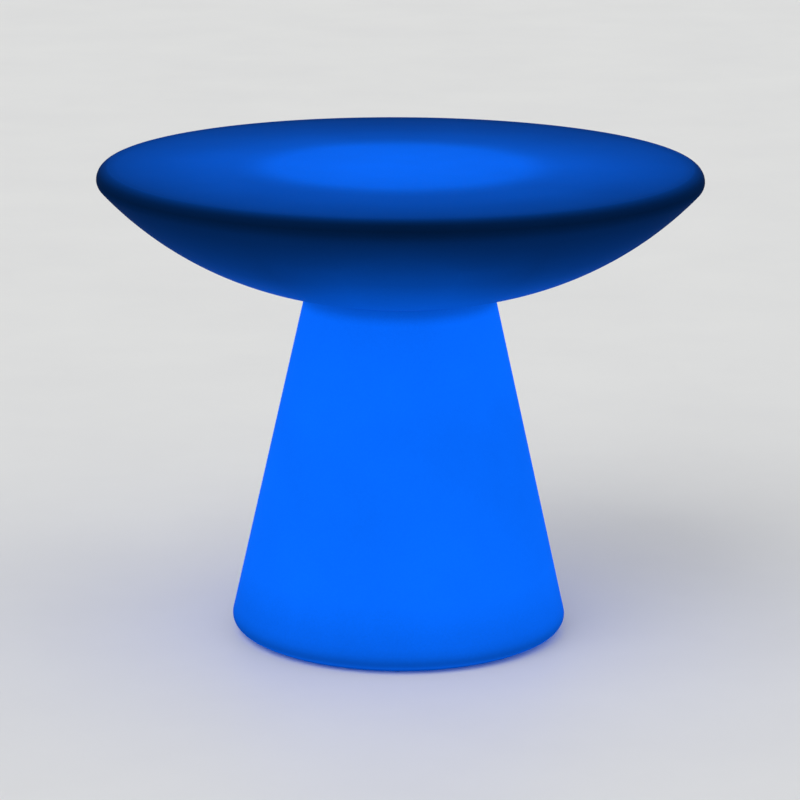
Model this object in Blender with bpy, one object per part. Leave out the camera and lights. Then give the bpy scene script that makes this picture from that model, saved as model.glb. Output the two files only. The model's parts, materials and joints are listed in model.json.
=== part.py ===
"""Light-up table: a round dish top bolted to a tapered base, with a light module in the base's floor.

Metres, +Z up. The origin is on the floor under the middle of the table, and -Y is the front.
"""

import math

import bmesh
import bpy
from mathutils import Matrix, Vector

# Fits and overruns
SEAT_GAP = 0.0003
CUT_OVERRUN = 0.002
WELD_OVERLAP = 0.0005
MERGE_DISTANCE = 0.000001

# Whole table
HEIGHT = 0.555
TOP_RADIUS = 0.350
NECK_RADIUS = 0.110
BASE_RADIUS = 0.200
WALL = 0.005

# Dish: a rounded rim, then a bowl that starts where its outward normal has turned this far below level
RIM_ROUND = 0.015
NOSE_ROUND = 0.010
BOWL_RADIUS = 0.405
BOWL_START_NORMAL = math.radians(-42.5)

# Base: rounded lower edge and a low foot ring with a notch for the charging lead
BASE_ROUND = 0.013
FOOT_RING_HEIGHT = 0.0034
FOOT_RING_WIDTH = 0.010
FOOT_RING_SETBACK = 0.019
FOOT_RING_CHAMFER = 0.0008
LEAD_NOTCH_WIDTH = 0.012
LEAD_NOTCH_HEIGHT = 0.0030
LEAD_NOTCH_ANGLE = math.radians(-35)

# Foot pads, set in pockets in the ring
PAD_COUNT = 4
PAD_RADIUS = 0.0036
PAD_PROUD = 0.0005
PAD_POCKET_DEPTH = 0.0018

# Neck joint: a lip on the base, a spigot on the dish, a gasket, and bolts into moulded-in inserts
LIP_WIDTH = 0.012
SPIGOT_CLEARANCE = 0.0005
SPIGOT_DEPTH = 0.006
GASKET_THICKNESS = 0.0014
GASKET_INSET = 0.002
GASKET_BORE_INSET = 0.001
NECK_BOSS_HEIGHT = 0.014
NECK_BOSS_MARGIN = 0.0038
NECK_BOLT_COUNT = 4
NECK_BOLT_RADIUS = 0.0025
NECK_BOLT_LENGTH = 0.016
NECK_BOLT_HEAD_RADIUS = 0.0045
NECK_BOLT_HEAD_HEIGHT = 0.0034
NECK_BOLT_KEY_RADIUS = 0.0018
NECK_BOLT_KEY_DEPTH = 0.002
NECK_INSERT_RADIUS = 0.0038
NECK_INSERT_LENGTH = 0.010

# Light module: its flange, seal and screws
RECESS_DEPTH = 0.0274
PORT_LEDGE = 0.020
PORT_BOSS_WIDTH = 0.018
PORT_BOSS_HEIGHT = 0.014
TRAY_CLEARANCE = 0.002
TRAY_FLOOR = 0.004
TRAY_EDGE_ROUND = 0.001
CUP_WALL = 0.003
CUP_CLEARANCE = 0.003
SEAL_THICKNESS = 0.0024
SEAL_INSET = 0.0012
MODULE_SCREW_COUNT = 6
MODULE_SCREW_RADIUS = 0.002
MODULE_SCREW_LENGTH = 0.014
MODULE_SCREW_HEAD_RADIUS = 0.0038
MODULE_SCREW_HEAD_HEIGHT = 0.0026
MODULE_SCREW_KEY_RADIUS = 0.0014
MODULE_SCREW_KEY_DEPTH = 0.0014
MODULE_INSERT_RADIUS = 0.0033
MODULE_INSERT_LENGTH = 0.009

# Battery: round cells side by side under a strap
CELL_COUNT = 3
CELL_RADIUS = 0.00925
CELL_LENGTH = 0.065
CELL_SPACING = 0.0006
CELL_EDGE_ROUND = 0.0008
CELL_NUB_RADIUS = 0.0028
CELL_NUB_HEIGHT = 0.0009
STOP_RIB_THICKNESS = 0.002
STOP_RIB_HEIGHT = 0.007
STRAP_WIDTH = 0.014
STRAP_THICKNESS = 0.0015
STRAP_FOOT = 0.009
STRAP_SCREW_RADIUS = 0.0012
STRAP_SCREW_LENGTH = 0.0045
STRAP_SCREW_HEAD_RADIUS = 0.0026
STRAP_SCREW_HEAD_HEIGHT = 0.0018
STRAP_SCREW_KEY_RADIUS = 0.0010
STRAP_SCREW_KEY_DEPTH = 0.0009

# Push switch
CONTROL_SPACING = 0.003
CONTROL_OFFSET = 0.034
SWITCH_FLANGE_RADIUS = 0.009
SWITCH_FLANGE_THICKNESS = 0.0016
SWITCH_BODY_RADIUS = 0.0077
SWITCH_BORE_RADIUS = 0.0058
SWITCH_LIP = 0.0009
SWITCH_LIP_THICKNESS = 0.0012
SWITCH_CEILING = 0.002
SWITCH_NUT_RADIUS = 0.0105
SWITCH_NUT_THICKNESS = 0.004
BUTTON_CLEARANCE = 0.0004
BUTTON_PROUD = 0.0012
BUTTON_TRAVEL = 0.0015
BUTTON_COLLAR = 0.002
BUTTON_STEM_RADIUS = 0.0016
BUTTON_STEM_LENGTH = 0.009
BUTTON_STEM_ROOM = 0.006
BUTTON_EDGE_ROUND = 0.0004
SPRING_WIRE_RADIUS = 0.0003
SPRING_TURNS = 5

# Charging socket and its hinged cover
SOCKET_FLANGE_RADIUS = 0.006
SOCKET_FLANGE_THICKNESS = 0.001
SOCKET_BODY_RADIUS = 0.0048
SOCKET_BORE_RADIUS = 0.0031
SOCKET_PIN_RADIUS = 0.001
SOCKET_PIN_SETBACK = 0.002
SOCKET_BORE_DEPTH = 0.011
SOCKET_BACK = 0.004
SOCKET_NUT_RADIUS = 0.0072
SOCKET_NUT_THICKNESS = 0.003
COVER_RADIUS = 0.0068
COVER_THICKNESS = 0.002
COVER_REACH = 0.0092
COVER_STRAP_WIDTH = 0.005
COVER_PLUG_DEPTH = 0.001
COVER_PLUG_WALL = 0.0011
KNUCKLE_RADIUS = 0.0016
KNUCKLE_INSET = 0.0001
HINGE_PIN_RADIUS = 0.0007
LUG_THICKNESS = 0.0015
LUG_LENGTH = 0.0036

# Control board and status lens
BOARD_LENGTH = 0.050
BOARD_WIDTH = 0.022
BOARD_THICKNESS = 0.0016
STANDOFF_HEIGHT = 0.005
STANDOFF_RADIUS = 0.002
STANDOFF_INSET = 0.0035
PLUG_LENGTH = 0.008
PLUG_WIDTH = 0.005
PLUG_HEIGHT = 0.005
PLUG_EDGE_INSET = 0.001
CHIP_SIDE = 0.008
CHIP_HEIGHT = 0.0014
COIL_RADIUS = 0.0035
COIL_HEIGHT = 0.004
LENS_RADIUS = 0.0025
LENS_HEAD_RADIUS = 0.0036
LENS_HEAD_HEIGHT = 0.0010

# Lamp plate, emitters and dome
PLATE_HEADROOM = 0.007
PLATE_THICKNESS = 0.0016
PLATE_CLEARANCE = 0.0005
POST_RADIUS = 0.0035
POST_COUNT = 4
EMITTER_COUNT = 6
EMITTER_BASE_RADIUS = 0.0042
EMITTER_BASE_HEIGHT = 0.0010
EMITTER_LENS_RADIUS = 0.0030
EMITTER_LENS_RISE = 0.0016
DOME_WALL = 0.002
DOME_RISE = 0.020
DOME_FLANGE_HEIGHT = 0.002
DOME_LIP_DEPTH = 0.0040
DOME_SHOULDER = 0.0035

# Internal leads
LEAD_RADIUS = 0.0011
LEAD_SLACK = 0.006
LEAD_POINTS = 10

# Places across the parts, as shares of the size that each follows
HEAD_SHOULDER_SHARE = 0.35
SHANK_TIP_SHARE = 0.35
FLANGE_EDGE_SHARE = 0.35
LEAD_EXIT_SHARE = 0.5
EMITTER_CIRCLE_SHARE = 0.55
PLUG_PLACE_SHARES = {"socket": -0.76, "battery": -0.26, "lamp": 0.26, "switch": 0.76}
CHIP_PLACE_SHARES = (-0.28, -0.30)
COIL_PLACE_SHARES = (0.45, -0.45)

# How finely round shapes are faceted
SHELL_SEGMENTS = 72
MODULE_SEGMENTS = 48
FASTENER_SEGMENTS = 10
SMALL_SEGMENTS = 16
RIM_STEPS = 4
NOSE_STEPS = 2
BOWL_STEPS = 6
ROUND_STEPS = 3
HEXAGON_SIDES = 6
DOME_STEPS = 3
SPRING_POINTS = 8
TUBE_RESOLUTION = 1
SMOOTH_ANGLE = math.radians(35)

QUARTER = math.pi / 2
FULL_TURN = 2 * math.pi

# The dish's arcs and the height of the neck
RIM_CENTRE = Vector((TOP_RADIUS - RIM_ROUND, HEIGHT - RIM_ROUND))
NOSE_CENTRE = Vector((TOP_RADIUS - NOSE_ROUND, HEIGHT - RIM_ROUND))
BOWL_START = Vector((math.cos(BOWL_START_NORMAL), math.sin(BOWL_START_NORMAL)))
BOWL_CENTRE = NOSE_CENTRE - (BOWL_RADIUS - NOSE_ROUND) * BOWL_START
NECK_NORMAL = -math.acos((NECK_RADIUS - BOWL_CENTRE.x) / BOWL_RADIUS)
NECK_Z = BOWL_CENTRE.y + BOWL_RADIUS * math.sin(NECK_NORMAL)

# The neck joint
GASKET_STACK = GASKET_THICKNESS + 2 * SEAT_GAP
BASE_TOP_Z = NECK_Z - GASKET_STACK
LIP_RADIUS = NECK_RADIUS - WALL - LIP_WIDTH
BOLT_CIRCLE = LIP_RADIUS + LIP_WIDTH / 2
SPIGOT_OUTER = LIP_RADIUS - SPIGOT_CLEARANCE
SPIGOT_INNER = SPIGOT_OUTER - WALL
SPIGOT_FOOT_Z = BASE_TOP_Z - WALL - SPIGOT_DEPTH
NECK_POCKET_RADIUS = NECK_INSERT_RADIUS + SEAT_GAP
NECK_BOSS_RADIUS = BOLT_CIRCLE + NECK_POCKET_RADIUS + NECK_BOSS_MARGIN
NECK_BOSS_Z = NECK_Z + NECK_BOSS_HEIGHT

# The base's side, its lower edge and its foot ring
UNDERSIDE_Z = PAD_PROUD + FOOT_RING_HEIGHT
SIDE_LEAN = math.atan2(BASE_RADIUS - NECK_RADIUS, BASE_TOP_Z - UNDERSIDE_Z)
EDGE_REACH = (1 + math.sin(SIDE_LEAN)) / math.cos(SIDE_LEAN)
EDGE_CENTRE = Vector((BASE_RADIUS - EDGE_REACH * BASE_ROUND, UNDERSIDE_Z + BASE_ROUND))
RING_OUTER = BASE_RADIUS - FOOT_RING_SETBACK
RING_INNER = RING_OUTER - FOOT_RING_WIDTH

# Inside the module's cup, in the module's own frame, whose origin is the middle of its underside
CELL_PITCH = 2 * CELL_RADIUS + CELL_SPACING
CELL_Z = TRAY_FLOOR + SEAT_GAP + CELL_RADIUS
PACK_NEAR_Y = SEAT_GAP
PACK_FAR_Y = PACK_NEAR_Y + CELL_COUNT * CELL_PITCH - CELL_SPACING
PACK_HALF_LENGTH = CELL_LENGTH / 2 + CELL_NUB_HEIGHT + SEAT_GAP
PACK_TOP = TRAY_FLOOR + 2 * (SEAT_GAP + CELL_RADIUS)
STRAP_INNER_NEAR = PACK_NEAR_Y - SEAT_GAP
STRAP_INNER_FAR = PACK_FAR_Y + SEAT_GAP
STRAP_REACH = STRAP_THICKNESS + STRAP_FOOT
STRAP_NEAR_Y = STRAP_INNER_NEAR - STRAP_REACH
STRAP_FAR_Y = STRAP_INNER_FAR + STRAP_REACH
CONTROL_Y = STRAP_NEAR_Y - CONTROL_SPACING - SWITCH_NUT_RADIUS
BOARD_BACK_Y = CONTROL_Y - SWITCH_NUT_RADIUS - PLUG_LENGTH
BOARD_Y = BOARD_BACK_Y - BOARD_WIDTH / 2
BOARD_Z = TRAY_FLOOR + STANDOFF_HEIGHT + SEAT_GAP
BOARD_TOP = BOARD_Z + BOARD_THICKNESS
PACK_CORNER = math.hypot(PACK_HALF_LENGTH + STOP_RIB_THICKNESS, PACK_FAR_Y)
STRAP_CORNER = math.hypot(STRAP_WIDTH / 2, STRAP_FAR_Y)
BOARD_CORNER = math.hypot(BOARD_LENGTH / 2, BOARD_BACK_Y - BOARD_WIDTH)
CONTROL_CORNER = math.hypot(CONTROL_OFFSET, CONTROL_Y) + SWITCH_NUT_RADIUS

# The cup, and outwards from it the port and the recess in the base
CUP_INNER = max(PACK_CORNER, STRAP_CORNER, BOARD_CORNER, CONTROL_CORNER) + CUP_CLEARANCE
CUP_OUTER = CUP_INNER + CUP_WALL
PORT_RADIUS = CUP_OUTER + TRAY_CLEARANCE
RECESS_RADIUS = PORT_RADIUS + PORT_LEDGE
TRAY_RADIUS = RECESS_RADIUS - TRAY_CLEARANCE
SCREW_CIRCLE = PORT_RADIUS + PORT_LEDGE / 2 - SEAT_GAP
MODULE_POCKET_RADIUS = MODULE_INSERT_RADIUS + SEAT_GAP
PORT_BOSS_RADIUS = PORT_RADIUS + PORT_BOSS_WIDTH
CEILING_Z = UNDERSIDE_Z + RECESS_DEPTH
PORT_BOSS_Z = CEILING_Z + PORT_BOSS_HEIGHT
MODULE_Z = CEILING_Z - SEAL_THICKNESS - 2 * SEAT_GAP - TRAY_FLOOR

# The switch, from its face up
SWITCH_FACE_Z = -SEAT_GAP - SWITCH_FLANGE_THICKNESS
SWITCH_SHELF_Z = SWITCH_FACE_Z + SWITCH_LIP_THICKNESS
BUTTON_COLLAR_Z = SWITCH_SHELF_Z + SEAT_GAP
BUTTON_STEM_Z = BUTTON_COLLAR_Z + BUTTON_COLLAR
SWITCH_BORE_Z = BUTTON_STEM_Z + BUTTON_STEM_LENGTH + BUTTON_TRAVEL + BUTTON_STEM_ROOM
SWITCH_TOP_Z = SWITCH_BORE_Z + SWITCH_CEILING
SPRING_RADIUS = (SWITCH_BORE_RADIUS + BUTTON_STEM_RADIUS) / 2

# The socket and the hinge of its cover
SOCKET_FACE_Z = -SEAT_GAP - SOCKET_FLANGE_THICKNESS
SOCKET_TOP_Z = SOCKET_FACE_Z + SOCKET_BORE_DEPTH + SOCKET_BACK
HINGE_Z = SOCKET_FACE_Z - SEAT_GAP - COVER_THICKNESS / 2
HINGE_X = -CONTROL_OFFSET - COVER_REACH
LUG_INNER_Y = COVER_STRAP_WIDTH / 2 + SEAT_GAP
LUG_OUTER_Y = LUG_INNER_Y + LUG_THICKNESS

# The lamp plate on its posts, and the dome on the cup's rim
CONTENTS_TOP = max(PACK_TOP + STRAP_THICKNESS, SWITCH_TOP_Z, SOCKET_TOP_Z, BOARD_TOP + PLUG_HEIGHT)
PLATE_SEAT_Z = CONTENTS_TOP + PLATE_HEADROOM
PLATE_Z = PLATE_SEAT_Z + SEAT_GAP
PLATE_TOP = PLATE_Z + PLATE_THICKNESS
PLATE_RADIUS = CUP_INNER - PLATE_CLEARANCE
CUP_TOP = PLATE_TOP + SEAT_GAP + DOME_LIP_DEPTH
DOME_Z = CUP_TOP + SEAT_GAP
DOME_LIP_RADIUS = CUP_INNER - SEAT_GAP
DOME_CAP_RADIUS = CUP_OUTER - DOME_SHOULDER

COLOURS = {
    "lit_shell": ((0.01, 0.15, 0.98), 0.42, 0.0),
    "white_abs": ((0.80, 0.81, 0.82), 0.40, 0.0),
    "frosted_dome": ((0.90, 0.92, 0.95), 0.55, 0.0),
    "black_rubber": ((0.025, 0.025, 0.027), 0.80, 0.0),
    "silicone": ((0.62, 0.63, 0.65), 0.60, 0.0),
    "stainless_steel": ((0.62, 0.62, 0.63), 0.28, 1.0),
    "brass": ((0.78, 0.58, 0.27), 0.35, 1.0),
    "cell_wrap": ((0.05, 0.30, 0.12), 0.45, 0.0),
    "circuit_board": ((0.01, 0.16, 0.06), 0.45, 0.0),
    "plate_aluminium": ((0.80, 0.81, 0.82), 0.38, 1.0),
    "emitter": ((0.95, 0.90, 0.62), 0.30, 0.0),
    "black_plastic": ((0.03, 0.03, 0.035), 0.45, 0.0),
    "lens_clear": ((0.85, 0.90, 0.95), 0.12, 0.0),
    "lead_red": ((0.55, 0.03, 0.03), 0.50, 0.0),
    "lead_black": ((0.03, 0.03, 0.03), 0.50, 0.0),
}


def clear_scene():
    for obj in list(bpy.data.objects):
        bpy.data.objects.remove(obj)


def material(kind):
    """The Principled material of one kind of piece, made once."""
    found = bpy.data.materials.get(kind)
    if found:
        return found
    colour, roughness, metallic = COLOURS[kind]
    made = bpy.data.materials.new(kind)
    made.use_nodes = True
    shader = made.node_tree.nodes["Principled BSDF"]
    shader.inputs["Base Color"].default_value = (*colour, 1)
    shader.inputs["Roughness"].default_value = roughness
    shader.inputs["Metallic"].default_value = metallic
    made.diffuse_color = (*colour, 1)
    return made


def mesh_of(bm, name):
    """Closes the bmesh into a mesh, smooth over gentle edges only."""
    bmesh.ops.recalc_face_normals(bm, faces=bm.faces)
    mesh = bpy.data.meshes.new(name)
    bm.to_mesh(mesh)
    bm.free()
    mesh.shade_smooth()
    mesh.set_sharp_from_angle(angle=SMOOTH_ANGLE)
    return mesh


def place(name, mesh, kind, parent=None, location=(0, 0, 0), turn=0):
    """An object of this mesh, in its own place, turned about Z."""
    obj = bpy.data.objects.new(name, mesh)
    bpy.context.scene.collection.objects.link(obj)
    if not mesh.materials:
        mesh.materials.append(material(kind))
    obj.parent = parent
    obj.location = location
    obj.rotation_euler = (0, 0, turn)
    return obj


def helper(name, bm, parent=None):
    """A cutter or an addition for a Boolean, left out of renders."""
    obj = bpy.data.objects.new(name, mesh_of(bm, name))
    bpy.context.scene.collection.objects.link(obj)
    obj.parent = parent
    obj.hide_render = True
    obj.display_type = "WIRE"
    return obj


def combine(target, tool, operation):
    modifier = target.modifiers.new(tool.name, "BOOLEAN")
    modifier.operation = operation
    modifier.object = tool


def applied_mesh(obj, name):
    """The object's mesh with its modifiers worked in, for repeated pieces. The object itself goes."""
    graph = bpy.context.evaluated_depsgraph_get()
    mesh = bpy.data.meshes.new_from_object(obj.evaluated_get(graph))
    mesh.name = name
    for modifier in list(obj.modifiers):
        tool = modifier.object
        obj.modifiers.remove(modifier)
        bpy.data.objects.remove(tool)
    bpy.data.objects.remove(obj)
    mesh.shade_smooth()
    mesh.set_sharp_from_angle(angle=SMOOTH_ANGLE)
    return mesh


def arc(centre, radius, start, end, steps):
    """Points on an arc after its start, up to its end."""
    angles = [start + (end - start) * i / steps for i in range(1, steps + 1)]
    return [(centre[0] + radius * math.cos(a), centre[1] + radius * math.sin(a)) for a in angles]


def turned(outline, segments, name="turned"):
    """A solid turned about Z from (radius, height) points, a closed loop or a line from axis to axis."""
    bm = bmesh.new()
    verts = [bm.verts.new((r, 0, z)) for r, z in outline]
    edges = [bm.edges.new(pair) for pair in zip(verts, verts[1:])]
    if outline[0][0] or outline[-1][0]:
        edges.append(bm.edges.new((verts[-1], verts[0])))
    bmesh.ops.spin(
        bm,
        geom=verts + edges,
        axis=(0, 0, 1),
        cent=(0, 0, 0),
        angle=FULL_TURN,
        steps=segments,
        use_merge=True,
    )
    bmesh.ops.remove_doubles(bm, verts=bm.verts, dist=MERGE_DISTANCE)
    return mesh_of(bm, name)


def tube_outline(inner, outer, low, high):
    return [(inner, low), (outer, low), (outer, high), (inner, high)]


def add_rod(bm, radius, length, where, segments):
    """Adds a cylinder along its own Z, set by a matrix."""
    bmesh.ops.create_cone(
        bm,
        cap_ends=True,
        segments=segments,
        radius1=radius,
        radius2=radius,
        depth=length,
        matrix=where,
    )


def add_cylinder(bm, radius, low, high, at=(0, 0), segments=FASTENER_SEGMENTS):
    """Adds an upright cylinder between two heights."""
    middle = Matrix.Translation((at[0], at[1], (low + high) / 2))
    add_rod(bm, radius, high - low, middle, segments)


def add_cross_cylinder(bm, radius, half_length, centre):
    """Adds a cylinder lying along Y."""
    lying = Matrix.Translation(centre) @ Matrix.Rotation(QUARTER, 4, "X")
    add_rod(bm, radius, 2 * half_length, lying, FASTENER_SEGMENTS)


def add_box(bm, low, high, turn=0):
    """Adds a box between two corners, then turns it about Z."""
    low, high = Vector(low), Vector(high)
    shape = Matrix.Translation((low + high) / 2) @ Matrix.Diagonal((*(high - low), 1))
    bmesh.ops.create_cube(bm, size=1, matrix=Matrix.Rotation(turn, 4, "Z") @ shape)


def prism(outline, low, high, name="prism"):
    """A flat outline raised from one height to another."""
    bm = bmesh.new()
    face = bm.faces.new([bm.verts.new((x, y, low)) for x, y in outline])
    raised = bmesh.ops.extrude_face_region(bm, geom=[face])["geom"]
    tops = [item for item in raised if isinstance(item, bmesh.types.BMVert)]
    bmesh.ops.translate(bm, verts=tops, vec=(0, 0, high - low))
    return mesh_of(bm, name)


def closed_turned(outline, segments, name):
    """A turned solid whose outline meets the axis along one edge only, as a cup with a thick end does."""
    axis = [i for i, (r, _) in enumerate(outline) if not r]
    start = axis[-1]
    return turned(outline[start:] + outline[:start], segments, name)


def tube(name, points, radius, kind, parent, location=(0, 0, 0)):
    """A round wire along a list of points, with closed ends."""
    curve = bpy.data.curves.new(name, "CURVE")
    curve.dimensions = "3D"
    curve.bevel_depth = radius
    curve.bevel_resolution = TUBE_RESOLUTION
    curve.use_fill_caps = True
    spline = curve.splines.new("POLY")
    spline.points.add(len(points) - 1)
    for slot, point in zip(spline.points, points):
        slot.co = (*point, 1)
    curve.materials.append(material(kind))
    obj = bpy.data.objects.new(name, curve)
    bpy.context.scene.collection.objects.link(obj)
    obj.parent = parent
    obj.location = location
    return obj


def circle_places(count, radius, start=0):
    """Evenly spaced (x, y) places on a circle, with the angle of each."""
    angles = [start + FULL_TURN * i / count for i in range(count)]
    return [(radius * math.cos(a), radius * math.sin(a), a) for a in angles]


def bolt_mesh(name, radius, length, head_radius, head_height, key_radius, key_depth):
    """A headed screw, its shank up from z = 0 and its rounded head below, with a hexagon key hole."""
    shoulder = HEAD_SHOULDER_SHARE * head_height
    tip = SHANK_TIP_SHARE * radius
    outline = [(0, -head_height), (head_radius - shoulder, -head_height)]
    outline += [(head_radius, -head_height + shoulder), (head_radius, 0), (radius, 0)]
    outline += [(radius, length - tip), (radius - tip, length), (0, length)]
    bolt = place(name, turned(outline, FASTENER_SEGMENTS), "stainless_steel")
    key = bmesh.new()
    key_low = -head_height - CUT_OVERRUN
    add_cylinder(key, key_radius, key_low, key_depth - head_height, segments=HEXAGON_SIDES)
    combine(bolt, helper(name + "_key", key), "DIFFERENCE")
    return applied_mesh(bolt, name)


def insert_mesh(name, radius, bore, length):
    """A threaded bush, standing up from z = 0."""
    return turned(tube_outline(bore, radius, 0, length), FASTENER_SEGMENTS, name)


def top_shell():
    """The hollow dish: flat top, rounded rim, bowl, and a floor ring with a spigot down into the base."""
    inner_bowl = BOWL_RADIUS - WALL
    boss_normal = -math.acos((NECK_BOSS_RADIUS - BOWL_CENTRE.x) / inner_bowl)
    outline = [(0, HEIGHT), (RIM_CENTRE.x, HEIGHT)]
    outline += arc(RIM_CENTRE, RIM_ROUND, QUARTER, 0, RIM_STEPS)
    outline += arc(NOSE_CENTRE, NOSE_ROUND, 0, BOWL_START_NORMAL, NOSE_STEPS)
    outline += arc(BOWL_CENTRE, BOWL_RADIUS, BOWL_START_NORMAL, NECK_NORMAL, BOWL_STEPS)
    outline += [(SPIGOT_OUTER, NECK_Z), (SPIGOT_OUTER, SPIGOT_FOOT_Z), (SPIGOT_INNER, SPIGOT_FOOT_Z)]
    outline += [(SPIGOT_INNER, NECK_BOSS_Z), (NECK_BOSS_RADIUS, NECK_BOSS_Z)]
    outline += [(NECK_BOSS_RADIUS, BOWL_CENTRE.y + inner_bowl * math.sin(boss_normal))]
    outline += arc(BOWL_CENTRE, inner_bowl, boss_normal, BOWL_START_NORMAL, BOWL_STEPS)
    outline += arc(NOSE_CENTRE, NOSE_ROUND - WALL, BOWL_START_NORMAL, 0, 1)
    outline += arc(RIM_CENTRE, RIM_ROUND - WALL, 0, QUARTER, ROUND_STEPS)
    outline += [(0, HEIGHT - WALL)]
    shell = place("top_shell", turned(outline, SHELL_SEGMENTS, "top_shell"), "lit_shell")

    pockets = bmesh.new()
    for x, y, _ in circle_places(NECK_BOLT_COUNT, BOLT_CIRCLE, QUARTER / 2):
        pocket_top = NECK_Z + NECK_INSERT_LENGTH + 2 * SEAT_GAP
        add_cylinder(pockets, NECK_POCKET_RADIUS, NECK_Z - CUT_OVERRUN, pocket_top, (x, y))
    combine(shell, helper("top_shell_pockets", pockets), "DIFFERENCE")


def base_shell():
    """The hollow tapered base: a lip at the neck, a floor with the module's port, and a foot ring."""
    inner_edge = BASE_ROUND - WALL
    tangent = EDGE_CENTRE + BASE_ROUND * Vector((math.cos(SIDE_LEAN), math.sin(SIDE_LEAN)))
    lip_under_z = BASE_TOP_Z - WALL
    inner_foot = BASE_RADIUS - WALL / math.cos(SIDE_LEAN)
    inner_neck = inner_foot - math.tan(SIDE_LEAN) * (lip_under_z - UNDERSIDE_Z)
    outline = [(LIP_RADIUS, BASE_TOP_Z), (NECK_RADIUS, BASE_TOP_Z), tuple(tangent)]
    outline += arc(EDGE_CENTRE, BASE_ROUND, SIDE_LEAN, -QUARTER, RIM_STEPS)
    outline += [(RING_OUTER, UNDERSIDE_Z), (RING_OUTER, PAD_PROUD + FOOT_RING_CHAMFER)]
    outline += [(RING_OUTER - FOOT_RING_CHAMFER, PAD_PROUD), (RING_INNER, PAD_PROUD)]
    outline += [(RING_INNER, UNDERSIDE_Z)]
    outline += [(RECESS_RADIUS, UNDERSIDE_Z), (RECESS_RADIUS, CEILING_Z), (PORT_RADIUS, CEILING_Z)]
    outline += [(PORT_RADIUS, PORT_BOSS_Z), (PORT_BOSS_RADIUS, PORT_BOSS_Z)]
    outline += [(PORT_BOSS_RADIUS, CEILING_Z + WALL), (RECESS_RADIUS + WALL, CEILING_Z + WALL)]
    outline += [(RECESS_RADIUS + WALL, UNDERSIDE_Z + WALL), (EDGE_CENTRE.x, UNDERSIDE_Z + WALL)]
    outline += arc(EDGE_CENTRE, inner_edge, -QUARTER, SIDE_LEAN, ROUND_STEPS)
    outline += [(inner_neck, lip_under_z), (LIP_RADIUS, lip_under_z)]
    shell = place("base_shell", turned(outline, SHELL_SEGMENTS, "base_shell"), "lit_shell")

    cuts = bmesh.new()
    for x, y, _ in circle_places(NECK_BOLT_COUNT, BOLT_CIRCLE, QUARTER / 2):
        hole = NECK_BOLT_RADIUS + SEAT_GAP
        add_cylinder(cuts, hole, lip_under_z - CUT_OVERRUN, BASE_TOP_Z + CUT_OVERRUN, (x, y))
    for x, y, _ in circle_places(MODULE_SCREW_COUNT, SCREW_CIRCLE):
        pocket_top = CEILING_Z + MODULE_INSERT_LENGTH + 2 * SEAT_GAP
        add_cylinder(cuts, MODULE_POCKET_RADIUS, CEILING_Z - CUT_OVERRUN, pocket_top, (x, y))
    for x, y, _ in circle_places(PAD_COUNT, RING_INNER + FOOT_RING_WIDTH / 2):
        pocket_top = PAD_PROUD + PAD_POCKET_DEPTH
        add_cylinder(cuts, PAD_RADIUS + SEAT_GAP, PAD_PROUD - CUT_OVERRUN, pocket_top, (x, y))
    notch_low = (RING_INNER - CUT_OVERRUN, -LEAD_NOTCH_WIDTH / 2, PAD_PROUD - CUT_OVERRUN)
    notch_high = (RING_OUTER + CUT_OVERRUN, LEAD_NOTCH_WIDTH / 2, PAD_PROUD + LEAD_NOTCH_HEIGHT)
    add_box(cuts, notch_low, notch_high, LEAD_NOTCH_ANGLE)
    combine(shell, helper("base_shell_cuts", cuts), "DIFFERENCE")


def foot_pads():
    """The rubber pads in their pockets under the foot ring."""
    pad_top = PAD_PROUD + PAD_POCKET_DEPTH - SEAT_GAP
    outline = [(0, 0), (PAD_RADIUS - PAD_PROUD, 0), (PAD_RADIUS, PAD_PROUD)]
    outline += [(PAD_RADIUS, pad_top), (0, pad_top)]
    mesh = turned(outline, FASTENER_SEGMENTS, "foot_pad")
    for i, (x, y, _) in enumerate(circle_places(PAD_COUNT, RING_INNER + FOOT_RING_WIDTH / 2)):
        place(f"foot_pad_{i + 1}", mesh, "black_rubber", location=(x, y, 0))


def neck_joint():
    """The gasket between the shells, the inserts in the dish, and the bolts up through the base's lip."""
    inner, outer = LIP_RADIUS + GASKET_BORE_INSET, NECK_RADIUS - GASKET_INSET
    low = BASE_TOP_Z + SEAT_GAP
    section = tube_outline(inner, outer, low, low + GASKET_THICKNESS)
    gasket = place("neck_gasket", turned(section, MODULE_SEGMENTS, "neck_gasket"), "silicone")
    places = circle_places(NECK_BOLT_COUNT, BOLT_CIRCLE, QUARTER / 2)
    holes = bmesh.new()
    for x, y, _ in places:
        hole = NECK_BOLT_RADIUS + SEAT_GAP
        add_cylinder(holes, hole, low - CUT_OVERRUN, low + GASKET_THICKNESS + CUT_OVERRUN, (x, y))
    combine(gasket, helper("neck_gasket_holes", holes), "DIFFERENCE")

    bore = NECK_BOLT_RADIUS + SEAT_GAP
    insert = insert_mesh("neck_insert", NECK_INSERT_RADIUS, bore, NECK_INSERT_LENGTH)
    bolt = bolt_mesh(
        "neck_bolt",
        NECK_BOLT_RADIUS,
        NECK_BOLT_LENGTH,
        NECK_BOLT_HEAD_RADIUS,
        NECK_BOLT_HEAD_HEIGHT,
        NECK_BOLT_KEY_RADIUS,
        NECK_BOLT_KEY_DEPTH,
    )
    for i, (x, y, _) in enumerate(places):
        place(f"neck_insert_{i + 1}", insert, "brass", location=(x, y, NECK_Z + SEAT_GAP))
        under_lip = (x, y, BASE_TOP_Z - WALL - SEAT_GAP)
        place(f"neck_bolt_{i + 1}", bolt, "stainless_steel", location=under_lip)


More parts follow.
